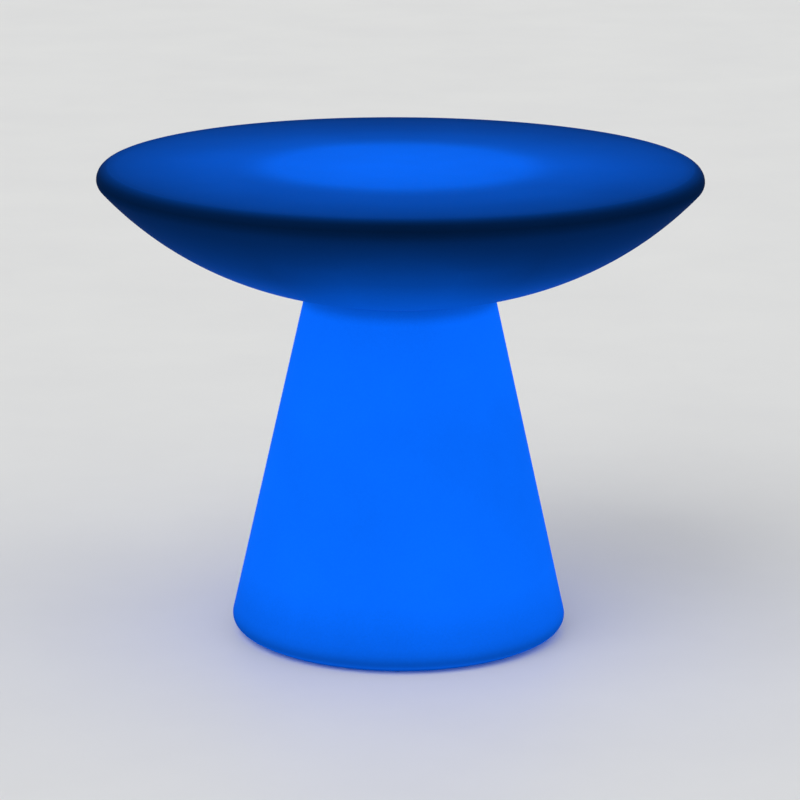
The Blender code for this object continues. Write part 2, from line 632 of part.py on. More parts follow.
def tray_additions():
    """Plate posts, cell stops and board standoffs on the tray's floor, and hinge lugs under it."""
    bm = bmesh.new()
    root = TRAY_FLOOR - WELD_OVERLAP
    post_circle = CUP_INNER + WELD_OVERLAP - POST_RADIUS
    for x, y, _ in circle_places(POST_COUNT, post_circle, QUARTER / 2):
        add_cylinder(bm, POST_RADIUS, root, PLATE_SEAT_Z, (x, y))
    rib_top = TRAY_FLOOR + STOP_RIB_HEIGHT
    for side in (-1, 1):
        faces = sorted((side * PACK_HALF_LENGTH, side * (PACK_HALF_LENGTH + STOP_RIB_THICKNESS)))
        add_box(bm, (faces[0], PACK_NEAR_Y, root), (faces[1], PACK_FAR_Y, rib_top))
    for x in (-1, 1):
        for y in (-1, 1):
            across = x * (BOARD_LENGTH / 2 - STANDOFF_INSET)
            along = BOARD_Y + y * (BOARD_WIDTH / 2 - STANDOFF_INSET)
            add_cylinder(bm, STANDOFF_RADIUS, root, TRAY_FLOOR + STANDOFF_HEIGHT, (across, along))
    for side in (-1, 1):
        ends = sorted((side * LUG_INNER_Y, side * LUG_OUTER_Y))
        low = (HINGE_X - LUG_LENGTH / 2, CONTROL_Y + ends[0], HINGE_Z - LUG_LENGTH / 2)
        high = (HINGE_X + LUG_LENGTH / 2, CONTROL_Y + ends[1], WELD_OVERLAP)
        add_box(bm, low, high)
    return bm


def tray_cuts():
    """Holes for the screws, switch, socket and lens, the strap's pilot holes and the hinge pin's bore."""
    bm = bmesh.new()
    below, above = -CUT_OVERRUN, TRAY_FLOOR + CUT_OVERRUN
    for x, y, _ in circle_places(MODULE_SCREW_COUNT, SCREW_CIRCLE):
        add_cylinder(bm, MODULE_SCREW_RADIUS + SEAT_GAP, below, above, (x, y))
    fittings = (
        (SWITCH_BODY_RADIUS, (CONTROL_OFFSET, CONTROL_Y)),
        (SOCKET_BODY_RADIUS, (-CONTROL_OFFSET, CONTROL_Y)),
        (LENS_RADIUS, (0, BOARD_Y)),
    )
    for radius, at in fittings:
        add_cylinder(bm, radius + SEAT_GAP, below, above, at, SMALL_SEGMENTS)
    for y in strap_screw_places():
        tip = TRAY_FLOOR + STRAP_THICKNESS + 2 * SEAT_GAP - STRAP_SCREW_LENGTH
        add_cylinder(bm, STRAP_SCREW_RADIUS + SEAT_GAP, tip - SEAT_GAP, above, (0, y))
    pin_half = LUG_OUTER_Y + CUT_OVERRUN
    add_cross_cylinder(bm, HINGE_PIN_RADIUS + SEAT_GAP, pin_half, (HINGE_X, CONTROL_Y, HINGE_Z))
    return bm


def strap_screw_places():
    """The middle of each foot of the battery strap."""
    return (STRAP_NEAR_Y + STRAP_FOOT / 2, STRAP_FAR_Y - STRAP_FOOT / 2)


def module_tray(module):
    """The module's flanged cup, which closes the port in the base's floor and carries what is inside."""
    outline = [(0, 0), (TRAY_RADIUS - TRAY_EDGE_ROUND, 0), (TRAY_RADIUS, TRAY_EDGE_ROUND)]
    outline += [(TRAY_RADIUS, TRAY_FLOOR), (CUP_OUTER, TRAY_FLOOR), (CUP_OUTER, CUP_TOP)]
    outline += [(CUP_INNER, CUP_TOP), (CUP_INNER, TRAY_FLOOR), (0, TRAY_FLOOR)]
    tray = place("module_tray", turned(outline, MODULE_SEGMENTS, "module_tray"), "white_abs", module)
    combine(tray, helper("module_tray_additions", tray_additions(), module), "UNION")
    combine(tray, helper("module_tray_cuts", tray_cuts(), module), "DIFFERENCE")


def module_fastening(module):
    """The seal over the flange, and the screws up through both into the inserts in the base's floor."""
    low = TRAY_FLOOR + SEAT_GAP
    high = low + SEAL_THICKNESS
    section = tube_outline(PORT_RADIUS + SEAL_INSET, TRAY_RADIUS - SEAL_INSET, low, high)
    seal = place("module_seal", turned(section, MODULE_SEGMENTS, "module_seal"), "silicone", module)
    places = circle_places(MODULE_SCREW_COUNT, SCREW_CIRCLE)
    holes = bmesh.new()
    for x, y, _ in places:
        add_cylinder(holes, MODULE_SCREW_RADIUS + SEAT_GAP, low - CUT_OVERRUN, high + CUT_OVERRUN, (x, y))
    combine(seal, helper("module_seal_holes", holes, module), "DIFFERENCE")

    bore = MODULE_SCREW_RADIUS + SEAT_GAP
    insert = insert_mesh("module_insert", MODULE_INSERT_RADIUS, bore, MODULE_INSERT_LENGTH)
    screw = bolt_mesh(
        "module_screw",
        MODULE_SCREW_RADIUS,
        MODULE_SCREW_LENGTH,
        MODULE_SCREW_HEAD_RADIUS,
        MODULE_SCREW_HEAD_HEIGHT,
        MODULE_SCREW_KEY_RADIUS,
        MODULE_SCREW_KEY_DEPTH,
    )
    for i, (x, y, _) in enumerate(places):
        place(f"module_insert_{i + 1}", insert, "brass", location=(x, y, CEILING_Z + SEAT_GAP))
        place(f"module_screw_{i + 1}", screw, "stainless_steel", module, (x, y, -SEAT_GAP))


def battery(module):
    """The cells lying along X, and the strap over them with its screws."""
    half = CELL_LENGTH / 2
    round_in = CELL_RADIUS - CELL_EDGE_ROUND
    outline = [(0, -half), (round_in, -half), (CELL_RADIUS, -half + CELL_EDGE_ROUND)]
    outline += [(CELL_RADIUS, half - CELL_EDGE_ROUND), (round_in, half), (CELL_NUB_RADIUS, half)]
    outline += [(CELL_NUB_RADIUS, half + CELL_NUB_HEIGHT), (0, half + CELL_NUB_HEIGHT)]
    cell = turned(outline, SMALL_SEGMENTS, "battery_cell")
    cell.transform(Matrix.Rotation(QUARTER, 4, "Y"))
    for i in range(CELL_COUNT):
        y = PACK_NEAR_Y + CELL_RADIUS + i * CELL_PITCH
        turn = math.pi * (i % 2)
        place(f"battery_cell_{i + 1}", cell, "cell_wrap", module, (0, y, CELL_Z), turn)

    foot_low = TRAY_FLOOR + SEAT_GAP
    foot_high = foot_low + STRAP_THICKNESS
    inner_top = PACK_TOP
    outer_top = PACK_TOP + STRAP_THICKNESS
    near, far = STRAP_INNER_NEAR, STRAP_INNER_FAR
    section = [(STRAP_NEAR_Y, foot_low), (near, foot_low), (near, inner_top), (far, inner_top)]
    section += [(far, foot_low), (STRAP_FAR_Y, foot_low), (STRAP_FAR_Y, foot_high)]
    section += [(far + STRAP_THICKNESS, foot_high)]
    section += [(far + STRAP_THICKNESS, outer_top), (near - STRAP_THICKNESS, outer_top)]
    section += [(near - STRAP_THICKNESS, foot_high), (STRAP_NEAR_Y, foot_high)]
    band = prism(section, -STRAP_WIDTH / 2, STRAP_WIDTH / 2, "battery_strap")
    upright = Matrix(((0, 0, 1), (1, 0, 0), (0, 1, 0))).to_4x4()
    band.transform(upright)
    strap = place("battery_strap", band, "plate_aluminium", module)
    holes = bmesh.new()
    for y in strap_screw_places():
        hole = STRAP_SCREW_RADIUS + SEAT_GAP
        add_cylinder(holes, hole, foot_low - CUT_OVERRUN, foot_high + CUT_OVERRUN, (0, y))
    combine(strap, helper("battery_strap_holes", holes, module), "DIFFERENCE")

    screw = bolt_mesh(
        "strap_screw",
        STRAP_SCREW_RADIUS,
        STRAP_SCREW_LENGTH,
        STRAP_SCREW_HEAD_RADIUS,
        STRAP_SCREW_HEAD_HEIGHT,
        STRAP_SCREW_KEY_RADIUS,
        STRAP_SCREW_KEY_DEPTH,
    )
    screw.transform(Matrix.Rotation(math.pi, 4, "X"))
    for i, y in enumerate(strap_screw_places()):
        place(f"strap_screw_{i + 1}", screw, "stainless_steel", module, (0, y, foot_high + SEAT_GAP))


def hexagon_nut(name, radius, bore, thickness):
    """A flat six-sided ring nut, standing up from z = 0."""
    bm = bmesh.new()
    add_cylinder(bm, radius, 0, thickness, segments=HEXAGON_SIDES)
    nut = place(name, mesh_of(bm, name), "stainless_steel")
    hole = bmesh.new()
    add_cylinder(hole, bore, -CUT_OVERRUN, thickness + CUT_OVERRUN, segments=SMALL_SEGMENTS)
    combine(nut, helper(name + "_hole", hole), "DIFFERENCE")
    return applied_mesh(nut, name)


def push_switch(module):
    """The switch through the tray's floor: housing, nut, sprung button and its spring."""
    at = (CONTROL_OFFSET, CONTROL_Y, 0)
    lip_radius = SWITCH_BORE_RADIUS - SWITCH_LIP
    edge = FLANGE_EDGE_SHARE * SWITCH_FLANGE_THICKNESS
    outline = [(lip_radius, SWITCH_FACE_Z), (SWITCH_FLANGE_RADIUS - edge, SWITCH_FACE_Z)]
    outline += [(SWITCH_FLANGE_RADIUS, SWITCH_FACE_Z + edge), (SWITCH_FLANGE_RADIUS, -SEAT_GAP)]
    outline += [(SWITCH_BODY_RADIUS, -SEAT_GAP), (SWITCH_BODY_RADIUS, SWITCH_TOP_Z), (0, SWITCH_TOP_Z)]
    outline += [(0, SWITCH_BORE_Z), (SWITCH_BORE_RADIUS, SWITCH_BORE_Z)]
    outline += [(SWITCH_BORE_RADIUS, SWITCH_SHELF_Z), (lip_radius, SWITCH_SHELF_Z)]
    housing = closed_turned(outline, SMALL_SEGMENTS, "switch_housing")
    place("switch_housing", housing, "stainless_steel", module, at)

    bore = SWITCH_BODY_RADIUS + SEAT_GAP
    nut = hexagon_nut("switch_nut", SWITCH_NUT_RADIUS, bore, SWITCH_NUT_THICKNESS)
    place("switch_nut", nut, "stainless_steel", module, (at[0], at[1], TRAY_FLOOR + SEAT_GAP))

    face_radius = lip_radius - BUTTON_CLEARANCE
    face_z = SWITCH_FACE_Z - BUTTON_PROUD
    collar_radius = SWITCH_BORE_RADIUS - BUTTON_CLEARANCE
    outline = [(0, face_z), (face_radius - BUTTON_EDGE_ROUND, face_z)]
    outline += [(face_radius, face_z + BUTTON_EDGE_ROUND), (face_radius, BUTTON_COLLAR_Z)]
    outline += [(collar_radius, BUTTON_COLLAR_Z), (collar_radius, BUTTON_STEM_Z)]
    stem_top = BUTTON_STEM_Z + BUTTON_STEM_LENGTH
    outline += [(BUTTON_STEM_RADIUS, BUTTON_STEM_Z), (BUTTON_STEM_RADIUS, stem_top), (0, stem_top)]
    place("power_button", turned(outline, SMALL_SEGMENTS, "power_button"), "black_rubber", module, at)

    low = BUTTON_STEM_Z + SEAT_GAP + SPRING_WIRE_RADIUS
    high = SWITCH_BORE_Z - SEAT_GAP - SPRING_WIRE_RADIUS
    steps = SPRING_TURNS * SPRING_POINTS
    coil = []
    for i in range(steps + 1):
        angle = FULL_TURN * i / SPRING_POINTS
        x, y = SPRING_RADIUS * math.cos(angle), SPRING_RADIUS * math.sin(angle)
        coil.append((x, y, low + (high - low) * i / steps))
    tube("button_spring", coil, SPRING_WIRE_RADIUS, "stainless_steel", module, at)


def charge_socket(module):
    """The charging socket through the tray's floor, and the ring nut that holds it."""
    at = (-CONTROL_OFFSET, CONTROL_Y, 0)
    bore_top = SOCKET_FACE_Z + SOCKET_BORE_DEPTH
    pin_tip = SOCKET_FACE_Z + SOCKET_PIN_SETBACK
    outline = [(SOCKET_BORE_RADIUS, SOCKET_FACE_Z), (SOCKET_FLANGE_RADIUS, SOCKET_FACE_Z)]
    outline += [(SOCKET_FLANGE_RADIUS, -SEAT_GAP), (SOCKET_BODY_RADIUS, -SEAT_GAP)]
    outline += [(SOCKET_BODY_RADIUS, SOCKET_TOP_Z), (0, SOCKET_TOP_Z), (0, pin_tip)]
    outline += [(SOCKET_PIN_RADIUS, pin_tip), (SOCKET_PIN_RADIUS, bore_top)]
    outline += [(SOCKET_BORE_RADIUS, bore_top)]
    body = closed_turned(outline, SMALL_SEGMENTS, "charge_socket")
    place("charge_socket", body, "black_plastic", module, at)
    bore = SOCKET_BODY_RADIUS + SEAT_GAP
    nut = hexagon_nut("socket_nut", SOCKET_NUT_RADIUS, bore, SOCKET_NUT_THICKNESS)
    place("socket_nut", nut, "stainless_steel", module, (at[0], at[1], TRAY_FLOOR + SEAT_GAP))


def socket_cover(module):
    """The round cover under the socket, with a ring that plugs into it, hinged on a pin between lugs."""
    at = (HINGE_X, CONTROL_Y, HINGE_Z)
    half_strap = COVER_STRAP_WIDTH / 2
    opening = math.pi - math.asin(half_strap / COVER_RADIUS)
    disc = arc((COVER_REACH, 0), COVER_RADIUS, -opening, opening, 2 * SMALL_SEGMENTS)
    strap = [(0, half_strap), (0, -half_strap)]
    first = (COVER_REACH + COVER_RADIUS * math.cos(opening), -half_strap)
    flap = prism(strap + [first] + disc, -COVER_THICKNESS / 2, COVER_THICKNESS / 2, "socket_cover")
    cover = place("socket_cover", flap, "black_rubber", module, at)

    # The ring starts inside the flap and ends inside the socket's bore
    plug_outer = SOCKET_BORE_RADIUS - BUTTON_CLEARANCE
    plug_top = COVER_THICKNESS / 2 + SEAT_GAP + COVER_PLUG_DEPTH
    plug_root = COVER_THICKNESS / 2 - WELD_OVERLAP
    ring = tube_outline(plug_outer - COVER_PLUG_WALL, plug_outer, plug_root, plug_top)
    additions = bmesh.new()
    additions.from_mesh(turned(ring, SMALL_SEGMENTS))
    bmesh.ops.translate(additions, verts=additions.verts, vec=(COVER_REACH, 0, 0))
    add_cross_cylinder(additions, KNUCKLE_RADIUS, half_strap - KNUCKLE_INSET, (0, 0, 0))
    tool = helper("socket_cover_additions", additions, module)
    tool.location = at
    combine(cover, tool, "UNION")

    bore = bmesh.new()
    add_cross_cylinder(bore, HINGE_PIN_RADIUS + SEAT_GAP, half_strap + CUT_OVERRUN, (0, 0, 0))
    tool = helper("socket_cover_bore", bore, module)
    tool.location = at
    combine(cover, tool, "DIFFERENCE")

    pin = bmesh.new()
    add_cross_cylinder(pin, HINGE_PIN_RADIUS, LUG_OUTER_Y, (0, 0, 0))
    place("cover_pin", mesh_of(pin, "cover_pin"), "stainless_steel", module, at)


def control_board(module):
    """The circuit board on its standoffs, its parts fused to it, and the lens under its status light."""
    bm = bmesh.new()
    half = Vector((BOARD_LENGTH / 2, BOARD_WIDTH / 2))
    add_box(bm, (-half.x, BOARD_Y - half.y, BOARD_Z), (half.x, BOARD_Y + half.y, BOARD_TOP))
    board = place("control_board", mesh_of(bm, "control_board"), "circuit_board", module)
    parts = bmesh.new()
    root = BOARD_TOP - WELD_OVERLAP
    plug_back = BOARD_BACK_Y - PLUG_EDGE_INSET
    for share in PLUG_PLACE_SHARES.values():
        x = share * half.x
        low = (x - PLUG_LENGTH / 2, plug_back - PLUG_WIDTH, root)
        add_box(parts, low, (x + PLUG_LENGTH / 2, plug_back, BOARD_TOP + PLUG_HEIGHT))
    chip = (CHIP_PLACE_SHARES[0] * half.x, BOARD_Y + CHIP_PLACE_SHARES[1] * half.y)
    low = (chip[0] - CHIP_SIDE / 2, chip[1] - CHIP_SIDE / 2, root)
    add_box(parts, low, (chip[0] + CHIP_SIDE / 2, chip[1] + CHIP_SIDE / 2, BOARD_TOP + CHIP_HEIGHT))
    coil = (COIL_PLACE_SHARES[0] * half.x, BOARD_Y + COIL_PLACE_SHARES[1] * half.y)
    add_cylinder(parts, COIL_RADIUS, root, BOARD_TOP + COIL_HEIGHT, coil)
    combine(board, helper("control_board_parts", parts, module), "UNION")

    head_z = -SEAT_GAP - LENS_HEAD_HEIGHT
    stem_top = BOARD_Z - SEAT_GAP
    outline = [(0, head_z), (LENS_RADIUS, head_z), (LENS_HEAD_RADIUS, head_z + LENS_HEAD_HEIGHT / 2)]
    outline += [(LENS_HEAD_RADIUS, -SEAT_GAP), (LENS_RADIUS, -SEAT_GAP)]
    outline += [(LENS_RADIUS, stem_top), (0, stem_top)]
    lens = turned(outline, SMALL_SEGMENTS, "status_lens")
    place("status_lens", lens, "lens_clear", module, (0, BOARD_Y, 0))


def lamp(module):
    """The aluminium plate on the tray's posts, its emitters, and the frosted dome clipped over them."""
    disc = [(0, PLATE_Z), (PLATE_RADIUS, PLATE_Z), (PLATE_RADIUS, PLATE_TOP), (0, PLATE_TOP)]
    place("lamp_plate", turned(disc, MODULE_SEGMENTS, "lamp_plate"), "plate_aluminium", module)

    lens_sphere = (EMITTER_LENS_RADIUS**2 + EMITTER_LENS_RISE**2) / (2 * EMITTER_LENS_RISE)
    lens_angle = math.acos(EMITTER_LENS_RADIUS / lens_sphere)
    lens_centre = (0, EMITTER_BASE_HEIGHT + EMITTER_LENS_RISE - lens_sphere)
    outline = [(0, 0), (EMITTER_BASE_RADIUS, 0), (EMITTER_BASE_RADIUS, EMITTER_BASE_HEIGHT)]
    outline += [(EMITTER_LENS_RADIUS, EMITTER_BASE_HEIGHT)]
    outline += arc(lens_centre, lens_sphere, lens_angle, QUARTER, ROUND_STEPS)[:-1]
    outline += [(0, EMITTER_BASE_HEIGHT + EMITTER_LENS_RISE)]
    emitter = turned(outline, FASTENER_SEGMENTS, "emitter")
    places = circle_places(EMITTER_COUNT, EMITTER_CIRCLE_SHARE * PLATE_RADIUS)
    for i, (x, y, _) in enumerate(places):
        place(f"emitter_{i + 1}", emitter, "emitter", module, (x, y, PLATE_TOP + SEAT_GAP))

    cap_z = DOME_Z + DOME_FLANGE_HEIGHT
    sphere = (DOME_CAP_RADIUS**2 + DOME_RISE**2) / (2 * DOME_RISE)
    cap_angle = math.acos(DOME_CAP_RADIUS / sphere)
    centre = (0, cap_z + DOME_RISE - sphere)
    inner_sphere = sphere - DOME_WALL
    lip_inner = DOME_LIP_RADIUS - DOME_WALL
    inner_angle = math.acos(lip_inner / inner_sphere)
    lip_z = PLATE_TOP + SEAT_GAP
    outline = [(0, centre[1] + inner_sphere)]
    outline += arc(centre, inner_sphere, QUARTER, inner_angle, DOME_STEPS)
    outline += [(lip_inner, lip_z), (DOME_LIP_RADIUS, lip_z), (DOME_LIP_RADIUS, DOME_Z)]
    outline += [(CUP_OUTER, DOME_Z), (CUP_OUTER, cap_z), (DOME_CAP_RADIUS, cap_z)]
    outline += arc(centre, sphere, cap_angle, QUARTER, DOME_STEPS)[:-1]
    outline += [(0, cap_z + DOME_RISE)]
    place("diffuser_dome", turned(outline, MODULE_SEGMENTS, "diffuser_dome"), "frosted_dome", module)


def smooth_route(stations, count):
    """A straight first stretch, a smooth curve through the stations between, and a straight last one."""
    spans = len(stations) - 3
    points = [stations[0]]
    for i in range(count + 1):
        along = spans * i / count
        span = min(int(along), spans - 1)
        t = along - span
        a, b, c, d = stations[span : span + 4]
        bend, twist = 2 * a - 5 * b + 4 * c - d, 3 * b - a - 3 * c + d
        points.append((2 * b + (c - a) * t + bend * t**2 + twist * t**3) / 2)
    return points + [stations[-1]]


def plug_mouth(which):
    """Where a lead meets its plug on the board, just clear of the plug's back face."""
    x = PLUG_PLACE_SHARES[which] * BOARD_LENGTH / 2
    return Vector((x, BOARD_BACK_Y - PLUG_EDGE_INSET + SEAT_GAP, BOARD_TOP + PLUG_HEIGHT / 2))


def internal_leads(module):
    """The leads inside the cup, each from its piece to its plug on the board."""
    out = Vector((0, LEAD_SLACK, 0))
    up = Vector((0, 0, LEAD_SLACK))
    high = Vector((0, 0, LEAD_SLACK / 2))

    switch_top = Vector((CONTROL_OFFSET, CONTROL_Y, SWITCH_TOP_Z + SEAT_GAP))
    mouth = plug_mouth("switch")
    over_x = (switch_top.x + mouth.x) / 2
    over = Vector((over_x, CONTROL_Y - SWITCH_BODY_RADIUS, switch_top.z + high.z))
    route = [switch_top, switch_top + high, over, mouth + out, mouth]
    tube("switch_lead", smooth_route(route, LEAD_POINTS), LEAD_RADIUS, "lead_black", module)

    socket_top = Vector((-CONTROL_OFFSET, CONTROL_Y, SOCKET_TOP_Z + SEAT_GAP))
    mouth = plug_mouth("socket")
    over_x = (socket_top.x + mouth.x) / 2
    over = Vector((over_x, CONTROL_Y - SOCKET_BODY_RADIUS, socket_top.z + high.z))
    route = [socket_top, socket_top + high, over, mouth + out, mouth]
    tube("socket_lead", smooth_route(route, LEAD_POINTS), LEAD_RADIUS, "lead_red", module)

    mouth = plug_mouth("lamp")
    plate_under = Vector((mouth.x, CONTROL_Y, PLATE_Z - SEAT_GAP))
    route = [plate_under, plate_under - up / 2, mouth + out + high, mouth + out / 2, mouth]
    tube("lamp_lead", smooth_route(route, LEAD_POINTS), LEAD_RADIUS, "lead_red", module)

    # The battery's lead leaves the first cell's flat end above its stop and runs inside the socket's nut
    end_x = -CELL_LENGTH / 2
    end_z = CELL_Z + LEAD_EXIT_SHARE * CELL_RADIUS
    cell_end = Vector((end_x - SEAT_GAP, PACK_NEAR_Y + CELL_RADIUS, end_z))
    mouth = plug_mouth("battery")
    bend = cell_end - Vector((LEAD_SLACK / 2, 0, 0))
    beside = Vector((end_x + LEAD_SLACK / 2, STRAP_INNER_NEAR - LEAD_SLACK, end_z))
    inside = Vector((mouth.x, CONTROL_Y, mouth.z + high.z))
    route = [cell_end, bend, beside, inside, mouth + out, mouth]
    points = smooth_route(route, LEAD_POINTS + LEAD_POINTS // 2)
    tube("battery_lead", points, LEAD_RADIUS, "lead_black", module)


def light_module():
    """Everything that comes out with the tray, on one empty at the middle of the tray's underside."""
    module = bpy.data.objects.new("light_module", None)
    bpy.context.scene.collection.objects.link(module)
    module.location = (0, 0, MODULE_Z)
    module_tray(module)
    module_fastening(module)
    battery(module)
    control_board(module)
    push_switch(module)
    charge_socket(module)
    socket_cover(module)
    lamp(module)
    internal_leads(module)


def main():
    clear_scene()
    top_shell()
    base_shell()
    foot_pads()
    neck_joint()
    light_module()


main()
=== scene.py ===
"""Looks of the light-up table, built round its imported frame.

Metres, +Z up. The origin is on the floor under the middle of the table, and -Y is the front.
"""

import json
from math import acos, asin, atan2, cos, hypot, pi, radians, sin, sqrt, tan

import bmesh
import bpy
from mathutils import Matrix, Vector


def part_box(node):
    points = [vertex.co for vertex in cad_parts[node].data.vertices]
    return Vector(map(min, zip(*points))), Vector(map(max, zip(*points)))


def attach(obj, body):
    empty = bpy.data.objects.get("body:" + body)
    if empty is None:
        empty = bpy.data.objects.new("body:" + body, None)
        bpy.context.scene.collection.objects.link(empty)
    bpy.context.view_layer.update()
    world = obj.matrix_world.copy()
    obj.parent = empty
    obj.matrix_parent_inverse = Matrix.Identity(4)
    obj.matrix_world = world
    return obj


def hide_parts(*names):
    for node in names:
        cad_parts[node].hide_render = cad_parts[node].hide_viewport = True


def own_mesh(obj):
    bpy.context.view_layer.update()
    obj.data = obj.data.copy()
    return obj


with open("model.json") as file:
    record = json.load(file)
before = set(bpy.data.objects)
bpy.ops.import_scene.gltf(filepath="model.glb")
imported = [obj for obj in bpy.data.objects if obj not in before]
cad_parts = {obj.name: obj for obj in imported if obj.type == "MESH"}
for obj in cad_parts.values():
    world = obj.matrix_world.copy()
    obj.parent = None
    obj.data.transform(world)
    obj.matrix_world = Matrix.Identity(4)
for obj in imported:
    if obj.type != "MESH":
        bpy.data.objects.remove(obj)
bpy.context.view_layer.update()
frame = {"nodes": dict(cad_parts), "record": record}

SCENE = bpy.context.scene
QUARTER = pi / 2
FULL_TURN = 2 * pi
UP_TO_BACK = Matrix.Rotation(QUARTER, 4, "X")

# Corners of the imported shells
TOP_LOW, TOP_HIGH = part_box("top_shell")
BASE_LOW, BASE_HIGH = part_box("base_shell")
HEIGHT = TOP_HIGH.z
TOP_RADIUS = TOP_HIGH.x
BASE_TOP_Z = BASE_HIGH.z
FOOT_Z = BASE_LOW.z

# Shared sizes
WALL = 0.005
GAP = 0.0003
OVERRUN = 0.002
OVERLAP = 0.0005
MERGE_DISTANCE = 0.000002
PLACE_MARGIN = 0.00003
SMOOTH_ANGLE = radians(32)

# How finely round shapes are made
SHELL_SEGMENTS = 192
SMALL_SEGMENTS = 48
SCREW_SEGMENTS = 32
NUT_SEGMENTS = 72
HEXAGON_SIDES = 6
EASE_STEPS = 4
EASE_ROOM_SHARE = 0.45
WIRE_ROUND = 3

# Dish
RIM_ROUND = 0.015
NOSE_ROUND = 0.01
BOWL_RADIUS = 0.405
BOWL_START_NORMAL = radians(-42.5)
NECK_RADIUS = 0.11
SPIGOT_OUTER = 0.0925
NECK_BOSS_RADIUS = 0.1069
NECK_BOSS_HEIGHT = 0.014
RIM_STEPS = 14
NOSE_STEPS = 8
BOWL_STEPS = 36
INNER_STEPS = 12
FACE_RING_RADIUS = 0.18

# Base
BASE_RADIUS = 0.2
LIP_RADIUS = 0.093
BASE_ROUND = 0.013
RING_HEIGHT = 0.0034
RING_WIDTH = 0.01
RING_SETBACK = 0.019
RING_CHAMFER = 0.0008
NOTCH_WIDTH = 0.012
NOTCH_HEIGHT = 0.003
NOTCH_ANGLE = radians(-35)
RECESS_DEPTH = 0.0274
RECESS_ROUND = 0.0015
PORT_LEDGE = 0.02
PORT_BOSS_WIDTH = 0.018
PORT_BOSS_HEIGHT = 0.014
PAD_POCKET_DEPTH = 0.0018

# Small roundings
EDGE_EASE = 0.0003
FINE_EASE = 0.0002
SOFT_EASE = 0.0005
TRAY_EASE = 0.0008
COVER_RIB_EASE = 0.00022
NOTCH_EASE = 0.0004
CHIP_LEG_EASE = 0.00005

# Screws: the shank's radius, the head's height, and the radius and depth of the key's hole
SCREWS = {
    "neck_bolt": (0.0025, 0.0034, 0.0018, 0.002),
    "module_screw": (0.002, 0.0026, 0.0014, 0.0014),
    "strap_screw": (0.0012, 0.0018, 0.001, 0.0009),
}
SCREW_HOLES = {screw: sizes[0] + GAP for screw, sizes in SCREWS.items()}
SCREW_FLAT_SHARE = 0.45
SCREW_SKIRT_SHARE = 0.22
THREAD_PITCH_SHARE = 0.45
THREAD_DEPTH_SHARE = 0.35

# Bushes and nuts
KNURL_COUNT = 24
KNURL_POINTS = 4
KNURL_DEPTH = 0.00025
KNURL_BAND_SHARE = 0.42
NUT_CHAMFER = 0.0008

# Gasket and seal
GASKET_BORE_INSET = 0.001
SEAL_INSET = 0.0012

# Light module's tray
TRAY_FLOOR = 0.004
TRAY_CLEARANCE = 0.002
TRAY_GROOVE_RADIUS = 0.07
TRAY_GROOVE_WIDTH = 0.001
TRAY_GROOVE_DEPTH = 0.0005
CUP_WALL = 0.003
POST_RADIUS = 0.0035
POST_COUNT = 4
STOP_RIB_THICKNESS = 0.002
STOP_RIB_HEIGHT = 0.007
STANDOFF_RADIUS = 0.002
STANDOFF_INSET = 0.0035
LUG_THICKNESS = 0.0015
LUG_LENGTH = 0.0036

# Battery cells, with the height of their lead as a share of their radius
CELL_NUB_RADIUS = 0.0028
CELL_NUB_HEIGHT = 0.0009
CELL_CRIMP = 0.0007
CELL_LEAD_RISE = 1.5

# Circuit board, whose plugs, chip and coil stand at shares of its half length and half width
BOARD_THICKNESS = 0.0016
PLUG_LENGTH = 0.008
PLUG_WIDTH = 0.005
PLUG_HEIGHT = 0.005
PLUG_EDGE_INSET = 0.001
PLUG_PLACES = {"socket": -0.76, "battery": -0.26, "lamp": 0.26, "switch": 0.76}
CHIP_SIDE = 0.008
CHIP_HEIGHT = 0.0014
CHIP_PLACE = (-0.28, -0.3)
CHIP_LEG_COUNT = 7
CHIP_LEG_WIDTH = 0.0004
CHIP_LEG_REACH = 0.0008
CHIP_LEG_HEIGHT = CHIP_HEIGHT / 3
COIL_RADIUS = 0.0035
COIL_HEIGHT = 0.004
COIL_PLACE = (0.45, -0.45)
COIL_TURNS = 8

# Radii of the bodies that stand in the tray's floor
BODIES = {"switch_housing": 0.0077, "charge_socket": 0.0048, "status_lens": 0.0025}

# Switch, button and spring
SWITCH_BORE_RADIUS = 0.0058
SWITCH_LIP = 0.0009
SWITCH_LIP_THICKNESS = 0.0012
SWITCH_CEILING = 0.002
BUTTON_CLEARANCE = 0.0004
BUTTON_COLLAR = 0.002
BUTTON_STEM_RADIUS = 0.0016
BUTTON_DISH = 0.0004
BUTTON_RIM = 0.0008
SPRING_WIRE_RADIUS = 0.0003
SPRING_TURNS = 5
SPRING_POINTS = 32

# Charging socket and its cover
SOCKET_BORE_RADIUS = 0.0031
SOCKET_BORE_DEPTH = 0.011
SOCKET_PIN_RADIUS = 0.001
SOCKET_PIN_SETBACK = 0.002
COVER_RADIUS = 0.0068
COVER_THICKNESS = 0.002
COVER_REACH = 0.0092
COVER_STRAP_WIDTH = 0.005
COVER_PLUG_DEPTH = 0.001
COVER_PLUG_WALL = 0.0011
COVER_RIB_COUNT = 3
COVER_RIB_PITCH = 0.0014
COVER_RIB_WIDTH = 0.0006
COVER_RIB_HEIGHT = 0.0003
COVER_RIB_INSET = 0.0012
KNUCKLE_RADIUS = 0.0016
KNUCKLE_INSET = 0.0001
HINGE_PIN_RADIUS = 0.0007

# Leads and lamp
LEAD_RADIUS = 0.0011
LEAD_SLACK = 0.006
LEAD_POINTS = 40
LENS_FOOT_Z = 0.001
LENS_RADIUS = 0.003
LENS_RISE = 0.0016
DOME_WALL = 0.002
DOME_FLANGE_HEIGHT = 0.002
DOME_SHOULDER = 0.0035

